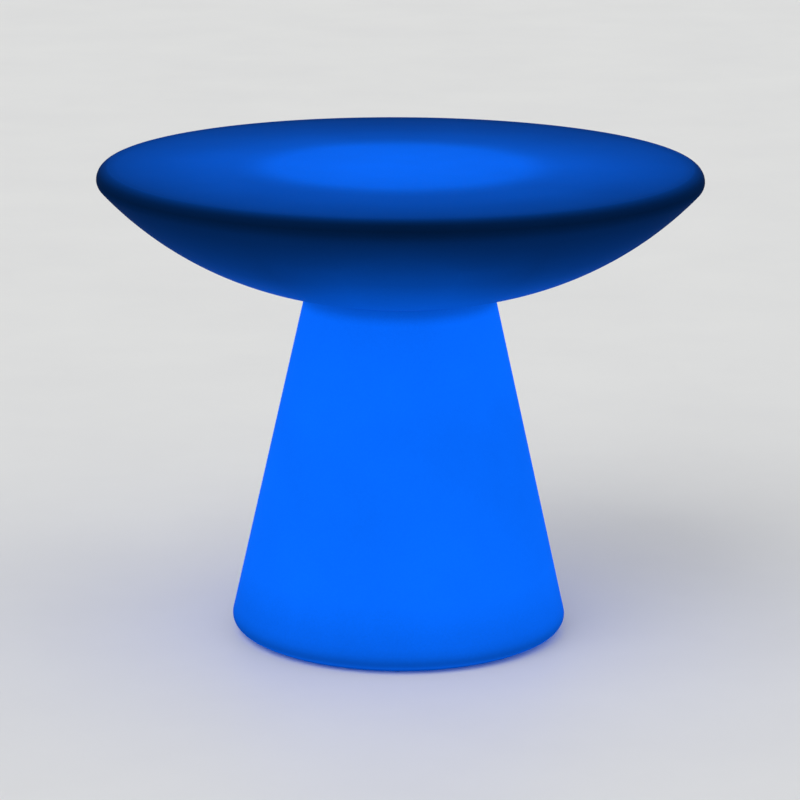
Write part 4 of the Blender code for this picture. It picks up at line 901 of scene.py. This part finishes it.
def screws(name, prefix, turn=0):
    """Domed screws with a hexagon key hole and a run of thread."""
    radius, head_height, key_radius, key_depth = SCREWS[prefix]
    head_radius, height = size(f"{prefix}_1")
    length = height - head_height
    flat = SCREW_FLAT_SHARE * head_radius
    outline = [(0, -head_height), (flat, -head_height)]
    for across, up in arc((0, 0), 1, QUARTER, 0, EASE_STEPS):
        sink = SCREW_SKIRT_SHARE + (1 - SCREW_SKIRT_SHARE) * up
        outline.append((flat + (head_radius - flat) * across, -sink * head_height))
    outline += [(head_radius, 0), (radius, 0)]
    pitch = THREAD_PITCH_SHARE * radius
    for i in range(int(length / pitch) - 1):
        outline += [(radius, (i + 0.5) * pitch), (radius - THREAD_DEPTH_SHARE * pitch, (i + 1) * pitch)]
    outline += [(radius - pitch / 2, length), (0, length)]
    key = bmesh.new()
    add_cylinder(key, key_radius, -head_height - OVERRUN, key_depth - head_height, segments=HEXAGON_SIDES)
    mesh = combined(turned(outline, SCREW_SEGMENTS), key)
    mesh.transform(Matrix.Rotation(turn, 4, "X"))
    fine_pieces(name, prefix, mesh, "stainless_steel", length if turn else head_height)


def bushes(name, prefix, screw):
    """Knurled brass bushes."""
    outer, length = size(f"{prefix}_1")
    bore, plain = SCREW_HOLES[screw], outer - KNURL_DEPTH

    def knurl(angle):
        return plain + KNURL_DEPTH * (1 + cos(KNURL_COUNT * angle)) / 2

    run = length * KNURL_BAND_SHARE
    half = [(bore, 0), (plain, 0), (knurl, KNURL_DEPTH), (knurl, run), (plain, run + KNURL_DEPTH)]
    outline = half + [(radius, length - z) for radius, z in reversed(half)]
    fine_pieces(name, prefix, turned(outline, KNURL_POINTS * KNURL_COUNT), "brass")


def nut(name, node, body):
    """A flat six-sided nut with its corners turned down, round this body."""
    low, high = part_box(node)
    reach, thickness = (high.y - low.y) / 2, high.z - low.z
    side, bore = pi / HEXAGON_SIDES, BODIES[body] + GAP

    def hexagon(angle):
        return reach * cos(side) / cos((angle - side) % (2 * side) - side)

    def turned_down(angle):
        return min(hexagon(angle), reach - NUT_CHAMFER)

    outline = [(bore, 0), (turned_down, 0), (hexagon, NUT_CHAMFER / 2)]
    outline += [(hexagon, thickness - NUT_CHAMFER / 2), (turned_down, thickness), (bore, thickness)]
    place = (*middle(node), low.z)
    fine_piece(name, turned(outline, NUT_SEGMENTS), "stainless_steel", node, place=place)


def foot_pads():
    """Rubber pads with rounded edges."""
    low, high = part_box("foot_pad_1")
    shape = rod(high.x - middle("foot_pad_1")[0], low.z, high.z, SOFT_EASE)
    fine_pieces("pad", "foot_pad", shape, "black_rubber", -low.z)


def tray_floor():
    """The module's flanged cup, in the module's frame."""
    groove, edge = TRAY_GROOVE_RADIUS, TRAY_GROOVE_RADIUS + TRAY_GROOVE_WIDTH
    outline = [
        (0, 0), (groove, 0), (groove, TRAY_GROOVE_DEPTH), (edge, TRAY_GROOVE_DEPTH), (edge, 0),
        (TRAY_RADIUS, 0), (TRAY_RADIUS, TRAY_FLOOR), (CUP_OUTER, TRAY_FLOOR), (CUP_OUTER, CUP_TOP),
        (CUP_INNER, CUP_TOP), (CUP_INNER, TRAY_FLOOR), (0, TRAY_FLOOR),
    ]
    above = TRAY_FLOOR + OVERRUN
    holes = cutters("module_screw", 0, above, SCREW_HOLES["module_screw"])
    for node, radius in BODIES.items():
        add_cylinder(holes, radius + GAP, -OVERRUN, above, middle(node))
    for screw in each("strap_screw"):
        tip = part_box(screw)[0].z - MODULE_Z - GAP
        add_cylinder(holes, SCREW_HOLES["strap_screw"], tip, above, middle(screw))
    return combined(turned(eased(outline, TRAY_EASE), SHELL_SEGMENTS), holes)


def tray_details():
    """Plate posts, cell stops, board standoffs and hinge lugs, in the module's frame."""
    root = TRAY_FLOOR - OVERLAP
    circle = CUP_INNER + OVERLAP - POST_RADIUS
    places = arc((0, 0), circle, -QUARTER / 2, FULL_TURN - QUARTER / 2, POST_COUNT)
    details = [moved(rod(POST_RADIUS, root, PLATE_SEAT_Z), *place, 0) for place in places]

    cells = [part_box(cell) for cell in each("battery_cell")]
    stop_x, top = cells[0][1].x + GAP, TRAY_FLOOR + STOP_RIB_HEIGHT
    for near, far in ((-stop_x - STOP_RIB_THICKNESS, -stop_x), (stop_x, stop_x + STOP_RIB_THICKNESS)):
        details.append(block((near, cells[0][0].y, root), (far, cells[-1][1].y, top)))

    low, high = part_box("control_board")
    seat_z = low.z - GAP - MODULE_Z
    for x in (low.x + STANDOFF_INSET, high.x - STANDOFF_INSET):
        for y in (low.y + STANDOFF_INSET, high.y - STANDOFF_INSET):
            details.append(moved(rod(STANDOFF_RADIUS, root, seat_z), x, y, 0))

    half = LUG_LENGTH / 2
    lug = [(half, OVERLAP - HINGE.z), (-half, OVERLAP - HINGE.z), (-half, 0)]
    lug += arc((0, 0), half, -pi, 0, 2 * EASE_STEPS)
    bore = mesh_of(cross_cylinder(HINGE_PIN_RADIUS + GAP, LUG_OUTER_Y + OVERRUN), "bore")
    for far, near in ((-LUG_OUTER_Y, -LUG_INNER_Y), (LUG_INNER_Y, LUG_OUTER_Y)):
        mesh = combined(spun(prism(lug, far, near, FINE_EASE), UP_TO_BACK), bore.copy())
        mesh.transform(Matrix.Translation(HINGE))
        details.append(mesh)
    return details


def tray():
    shape = combined(tray_floor(), joined(*tray_details()), "UNION")
    fine_piece("light_tray", shape, "white_abs", "module_tray", place=(0, 0, MODULE_Z))


def in_floor(node):
    """The heights of the face and top of a fitting in the tray's floor, and the outline over its body."""
    low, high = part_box(node)
    face, top, body = low.z - MODULE_Z, high.z - MODULE_Z, BODIES[node]
    return face, top, [(size(node)[0], -GAP), (body, -GAP), (body, top), (0, top)]


def fitting(name, outline, slot, node, **options):
    """A small turned piece of the module."""
    fine_piece(name, turned(eased(outline)), slot, node, place=(*middle(node), MODULE_Z), **options)


def switch():
    """The switch's housing with its turned flange, its button and its nut."""
    face, top, body = in_floor("switch_housing")
    lip = SWITCH_BORE_RADIUS - SWITCH_LIP
    shelf = face + SWITCH_LIP_THICKNESS
    outline = [
        (0, top - SWITCH_CEILING), (SWITCH_BORE_RADIUS, top - SWITCH_CEILING), (SWITCH_BORE_RADIUS, shelf),
        (lip, shelf), (lip, face), (body[0][0], face), *body,
    ]
    fitting("switch_ring", outline, "stainless_steel", "switch_housing")
    nut("switch_ring_nut", "switch_nut", "switch_housing")

    low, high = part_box("power_button")
    face, top = low.z - MODULE_Z, high.z - MODULE_Z
    finger, collar = lip - BUTTON_CLEARANCE, size("power_button")[0]
    collar_z = shelf + GAP
    stem_z = collar_z + BUTTON_COLLAR
    shares = [i / EASE_STEPS for i in range(EASE_STEPS + 1)]
    outline = [(s * (finger - BUTTON_RIM), face + BUTTON_DISH * (1 - s**2)) for s in shares]
    outline += [(finger, face), (finger, collar_z), (collar, collar_z), (collar, stem_z)]
    outline += [(BUTTON_STEM_RADIUS, stem_z), (BUTTON_STEM_RADIUS, top), (0, top)]
    fitting("button", outline, "black_rubber", "power_button", body="button")


def spring():
    """The button's return spring, a coil of wire."""
    low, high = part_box("button_spring")
    start, end = low.z + SPRING_WIRE_RADIUS, high.z - SPRING_WIRE_RADIUS
    centre = middle("switch_housing")
    steps = SPRING_TURNS * SPRING_POINTS
    circle = arc(centre, (SWITCH_BORE_RADIUS + BUTTON_STEM_RADIUS) / 2, 0, SPRING_TURNS * FULL_TURN, steps)
    coil = [(*point, start + (end - start) * i / steps) for i, point in enumerate([circle[-1], *circle])]
    obj = piece("return_spring", wire(coil, SPRING_WIRE_RADIUS), "stainless_steel", "button_spring")
    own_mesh(obj)


def socket():
    """The charging socket, with its plated pin and its nut."""
    face, _, body = in_floor("charge_socket")
    bore_top = face + SOCKET_BORE_DEPTH
    tip = face + SOCKET_PIN_SETBACK
    outline = [
        (0, tip), (SOCKET_PIN_RADIUS, tip), (SOCKET_PIN_RADIUS, bore_top), (SOCKET_BORE_RADIUS, bore_top),
        (SOCKET_BORE_RADIUS, face), (body[0][0], face), *body,
    ]

    def on_pin(centre):
        return hypot(centre.x, centre.y) < SOCKET_PIN_RADIUS + GAP / 2 and centre.z < bore_top

    fitting("socket", outline, "black_plastic", "charge_socket", accent=("stainless_steel", on_pin))
    nut("socket_ring_nut", "socket_nut", "charge_socket")


def cover():
    """The socket's soft cover, with ribs and the ring that plugs in, and its hinge pin."""
    half_strap, half = COVER_STRAP_WIDTH / 2, COVER_THICKNESS / 2
    opening = pi - asin(half_strap / COVER_RADIUS)
    outline = [(0, half_strap), (0, -half_strap)]
    outline += [(COVER_REACH + COVER_RADIUS * cos(opening), -half_strap)]
    outline += arc((COVER_REACH, 0), COVER_RADIUS, -opening, opening, SMALL_SEGMENTS)
    flap = prism(outline, COVER_RIB_HEIGHT - half, half, SOFT_EASE)

    plug = SOCKET_BORE_RADIUS - BUTTON_CLEARANCE
    inner, root, top = plug - COVER_PLUG_WALL, half - OVERLAP, half + GAP + COVER_PLUG_DEPTH
    ring = [(inner, root), (plug, root), (plug, top), (inner, top)]
    parts = [moved(turned(eased(ring)), COVER_REACH, 0, 0)]
    for i in range(COVER_RIB_COUNT):
        x = COVER_REACH + (i + 1) * COVER_RIB_PITCH
        reach = sqrt(COVER_RADIUS**2 - (x - COVER_REACH) ** 2) - COVER_RIB_INSET
        low, high = (x, -reach, -half), (x + COVER_RIB_WIDTH, reach, OVERLAP - half + COVER_RIB_HEIGHT)
        parts.append(block(low, high, COVER_RIB_EASE))
    parts.append(cross_cylinder(KNUCKLE_RADIUS, half_strap - KNUCKLE_INSET))
    whole = combined(flap, joined(*parts), "UNION")
    shape = combined(whole, cross_cylinder(HINGE_PIN_RADIUS + GAP, half_strap + OVERRUN))
    place = Vector((0, 0, MODULE_Z)) + HINGE
    fine_piece("socket_flap", shape, "black_rubber", "socket_cover", body="cover", place=place)
    pin = cross_cylinder(HINGE_PIN_RADIUS, LUG_OUTER_Y, FINE_EASE)
    fine_piece("flap_pin", pin, "stainless_steel", "cover_pin", place=place)


def status_light():
    """The clear light guide, with a domed head."""
    face, _, body = in_floor("status_lens")
    outline = [(0, face), (BODIES["status_lens"], face), (body[0][0], face / 2), *body]
    fitting("status_light", outline, "lens_clear", "status_lens")


def battery():
    """Wrapped cells with bare metal ends, every other one turned round."""
    low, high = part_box("battery_cell_1")
    radius = (high.z - low.z) / 2
    end = (high.x - low.x - CELL_NUB_HEIGHT) / 2
    crimp_end, crimp_radius, nub_end = end - CELL_CRIMP, radius - CELL_CRIMP, end + CELL_NUB_HEIGHT
    outline = [(0, -end), (radius, -end), (radius, crimp_end), (crimp_radius, crimp_end), (crimp_radius, end)]
    outline += [(CELL_NUB_RADIUS, end), (CELL_NUB_RADIUS, nub_end), (0, nub_end)]

    def bare(centre):
        return abs(centre.x) > crimp_end and hypot(centre.y, centre.z) < crimp_radius

    for i, node in enumerate(each("battery_cell")):
        turn = Matrix.Rotation(pi * (i % 2), 4, "Z") @ Matrix.Rotation(QUARTER, 4, "Y")
        shape = spun(turned(eased(outline)), turn)
        place = (0, middle(node)[1], (low.z + high.z) / 2)
        fine_piece(f"cell_{i + 1}", shape, "cell_wrap", node, place=place, accent=("stainless_steel", bare))


def board():
    """The circuit board, with its plugs, chip and coil."""
    low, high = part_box("control_board")
    top = low.z + BOARD_THICKNESS
    half_y, centre_y = (high.y - low.y) / 2, (low.y + high.y) / 2
    parts = {"board": (block(low, (high.x, high.y, top)), "circuit_board")}
    far = high.y - PLUG_EDGE_INSET
    for name, share in PLUG_PLACES.items():
        left = share * high.x - PLUG_LENGTH / 2
        shape = block((left, far - PLUG_WIDTH, top), (left + PLUG_LENGTH, far, top + PLUG_HEIGHT))
        parts[f"{name}_plug"] = (shape, "white_abs")

    side = CHIP_SIDE / 2
    legs = []
    for i in range(CHIP_LEG_COUNT):
        x = (i + 0.5) * CHIP_SIDE / CHIP_LEG_COUNT - side
        reach = side + CHIP_LEG_REACH
        legs.append(block((x, -reach, 0), (x + CHIP_LEG_WIDTH, reach, CHIP_LEG_HEIGHT), CHIP_LEG_EASE))
    chip = combined(block((-side, -side, 0), (side, side, CHIP_HEIGHT), FINE_EASE), joined(*legs), "UNION")

    pitch = COIL_HEIGHT / (COIL_TURNS + 1)
    outline = [(0, 0), (COIL_RADIUS, 0)]
    for i in range(COIL_TURNS):
        outline += [(COIL_RADIUS - pitch / 2, (i + 0.5) * pitch), (COIL_RADIUS, (i + 1) * pitch)]
    coil = mesh_of(turned(outline + [(COIL_RADIUS - pitch, COIL_HEIGHT), (0, COIL_HEIGHT)]), "coil")
    for mesh, (x, y) in ((chip, CHIP_PLACE), (coil, COIL_PLACE)):
        mesh.transform(Matrix.Translation((x * high.x, centre_y + y * half_y, top)))
    parts |= {"control_chip": (chip, "black_plastic"), "choke_coil": (coil, "brass")}
    for name, (shape, slot) in parts.items():
        fine_piece(name, shape, slot, "control_board")


def smooth_route(stations):
    """A curve through the stations, with a straight first and last stretch."""
    spans = len(stations) - 3
    points = [stations[0]]
    for i in range(LEAD_POINTS + 1):
        along = spans * i / LEAD_POINTS
        span = min(int(along), spans - 1)
        t = along - span
        a, b, c, d = stations[span : span + 4]
        bend, twist = 2 * a - 5 * b + 4 * c - d, 3 * b - a - 3 * c + d
        points.append((2 * b + (c - a) * t + bend * t**2 + twist * t**3) / 2)
    return points + [stations[-1]]


def leads():
    """The leads inside the cup, each from its piece to its plug on the board."""
    low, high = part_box("control_board")
    plug_y, plug_z = high.y - PLUG_EDGE_INSET + GAP, low.z + BOARD_THICKNESS + PLUG_HEIGHT / 2
    mouths = {name: Vector((share * high.x, plug_y, plug_z)) for name, share in PLUG_PLACES.items()}
    out, rise = Vector((0, LEAD_SLACK, 0)), Vector((0, 0, LEAD_SLACK / 2))
    front_y = middle("switch_housing")[1]

    routes = {}
    for name, node in (("switch", "switch_housing"), ("socket", "charge_socket")):
        mouth = mouths[name]
        top = Vector((*middle(node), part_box(node)[1].z + GAP))
        over = Vector(((top.x + mouth.x) / 2, front_y - BODIES[node], top.z + rise.z))
        routes[name] = [top, top + rise, over, mouth + out, mouth]

    mouth = mouths["lamp"]
    top = Vector((mouth.x, front_y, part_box("lamp_plate")[0].z - GAP))
    routes["lamp"] = [top, top - rise, mouth + out + rise, mouth + out / 2, mouth]

    mouth = mouths["battery"]
    low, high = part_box("battery_cell_1")
    radius = (high.z - low.z) / 2
    end = Vector((low.x - GAP, low.y + radius, low.z + CELL_LEAD_RISE * radius))
    bend = end - Vector((LEAD_SLACK / 2, 0, 0))
    beside = Vector((low.x + LEAD_SLACK / 2, low.y - GAP - LEAD_SLACK, end.z))
    inside = Vector((mouth.x, front_y, mouth.z + rise.z))
    routes["battery"] = [end, bend, beside, inside, mouth + out, mouth]

    for name, route in routes.items():
        slot = "lead_red" if name in ("socket", "lamp") else "lead_black"
        piece(f"{name}_wire", wire(smooth_route(route), LEAD_RADIUS), slot, f"{name}_lead")


def lamp():
    """The aluminium plate, the emitters under domed lenses, and the frosted cap."""
    low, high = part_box("lamp_plate")
    disc = rod(high.x, low.z, high.z, segments=SHELL_SEGMENTS)
    fine_piece("emitter_plate", disc, "plate_aluminium", "lamp_plate")

    def on_base(centre):
        return centre.z < LENS_FOOT_Z + PLACE_MARGIN

    lens = dome(LENS_RADIUS, LENS_FOOT_Z, LENS_FOOT_Z + LENS_RISE)[2]
    chip_radius = size("emitter_1")[0]
    outline = [(0, 0), (chip_radius, 0), (chip_radius, LENS_FOOT_Z), *lens]
    fine_pieces("light_chip", "emitter", turned(outline), "emitter", accent=("white_abs", on_base))

    low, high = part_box("diffuser_dome")
    seat_z = TRAY_TOP_Z + GAP
    flange_z = seat_z + DOME_FLANGE_HEIGHT
    centre, sphere, cap = dome(CUP_OUTER - DOME_SHOULDER, flange_z, high.z)
    inner = sphere - DOME_WALL
    lip_radius = CUP_INNER - GAP
    lip_inner = lip_radius - DOME_WALL
    outline = [
        (0, centre[1] + inner),
        *arc(centre, inner, QUARTER, acos(lip_inner / inner), NOSE_STEPS),
        (lip_inner, low.z), (lip_radius, low.z), (lip_radius, seat_z), (CUP_OUTER, seat_z),
        (CUP_OUTER, flange_z), *cap,
    ]
    fine_piece("frosted_cap", turned(eased(outline), SHELL_SEGMENTS), "frosted_dome", "diffuser_dome")


def dress_nodes():
    """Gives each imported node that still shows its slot's material."""
    for part in frame["record"]["subparts"]:
        obj = frame["nodes"][part["node"]]
        material = MATERIALS.get(part["material_slot"])
        if material and not obj.hide_render:
            obj.material_slots[0].material = material


def floor_paint():
    """Pale matt paint with a faint mottle. It isn't there for what looks up from under the floor."""
    look = Look("floor", 0.55, specular=0.25)
    mottle = look.noise(3, 4, 0.6)
    look.feed("Base Color", look.ramp(mottle, *zip(CLOUD_RANGE, FLOOR_COLOURS)))
    look.skin(look.noise(60), 0.02, 0.001)
    under = look.add("NewGeometry").outputs["Backfacing"]
    clear = look.add("BsdfTransparent").outputs[0]
    both = look.add("MixShader", {0: under, 1: look.shader.outputs[0], 2: clear})
    look.put(look.tree.nodes["Material Output"].inputs["Surface"], both.outputs[0])


def camera():
    data = bpy.data.cameras.new("camera")
    data.lens = CAMERA_LENS_MM
    data.shift_x = CAMERA_SHIFT
    tilt = Matrix.Rotation(QUARTER - CAMERA_PITCH, 4, "X") @ Matrix.Rotation(CAMERA_ROLL, 4, "Z")
    SCENE.camera = shown("camera", data)
    SCENE.camera.matrix_world = Matrix.Translation(CAMERA_PLACE) @ tilt


def studio():
    """A plain pale floor and backdrop under soft, even light."""
    bm = bmesh.new()
    bmesh.ops.create_grid(bm, x_segments=1, y_segments=1, size=FLOOR_HALF)
    floor = shown("floor", mesh_of(bm, "floor"))
    floor_paint()
    floor.data.materials.append(MATERIALS["floor"])

    world = bpy.data.worlds.new("studio")
    SCENE.world = world
    nodes = Nodes(world)
    sky = nodes.add("Background", {"Color": SKY_COLOUR, "Strength": SKY_STRENGTH})
    backdrop = nodes.add("Background", {"Color": BACKDROP_COLOUR})
    path = nodes.add("LightPath").outputs
    seen = path["Is Camera Ray"]
    for ray in ("Is Glossy Ray", "Is Transmission Ray"):
        seen = nodes.maths("MAXIMUM", seen, path[ray])
    both = nodes.add("MixShader", {0: seen, 1: sky.outputs[0], 2: backdrop.outputs[0]})
    nodes.put(nodes.tree.nodes["World Output"].inputs["Surface"], both.outputs[0])

    for name, (place, strength, width) in LAMPS.items():
        data = bpy.data.lights.new(name, "SUN")
        data.energy = strength
        data.angle = width
        shown(name, data).rotation_euler = (-place).to_track_quat("-Z", "Y").to_euler()
    SCENE.view_settings.view_transform = "Standard"


camera()
studio()
dish()
base()
holed_ring("gasket", "neck_gasket", LIP_RADIUS + GASKET_BORE_INSET, "neck_bolt")
holed_ring("seal", "module_seal", PORT_RADIUS + SEAL_INSET, "module_screw")
screws("shell_bolt", "neck_bolt")
screws("tray_screw", "module_screw")
screws("battery_screw", "strap_screw", turn=pi)
bushes("shell_bush", "neck_insert", "neck_bolt")
bushes("tray_bush", "module_insert", "module_screw")
foot_pads()
tray()
switch()
spring()
socket()
cover()
status_light()
battery()
board()
leads()
lamp()
dress_nodes()
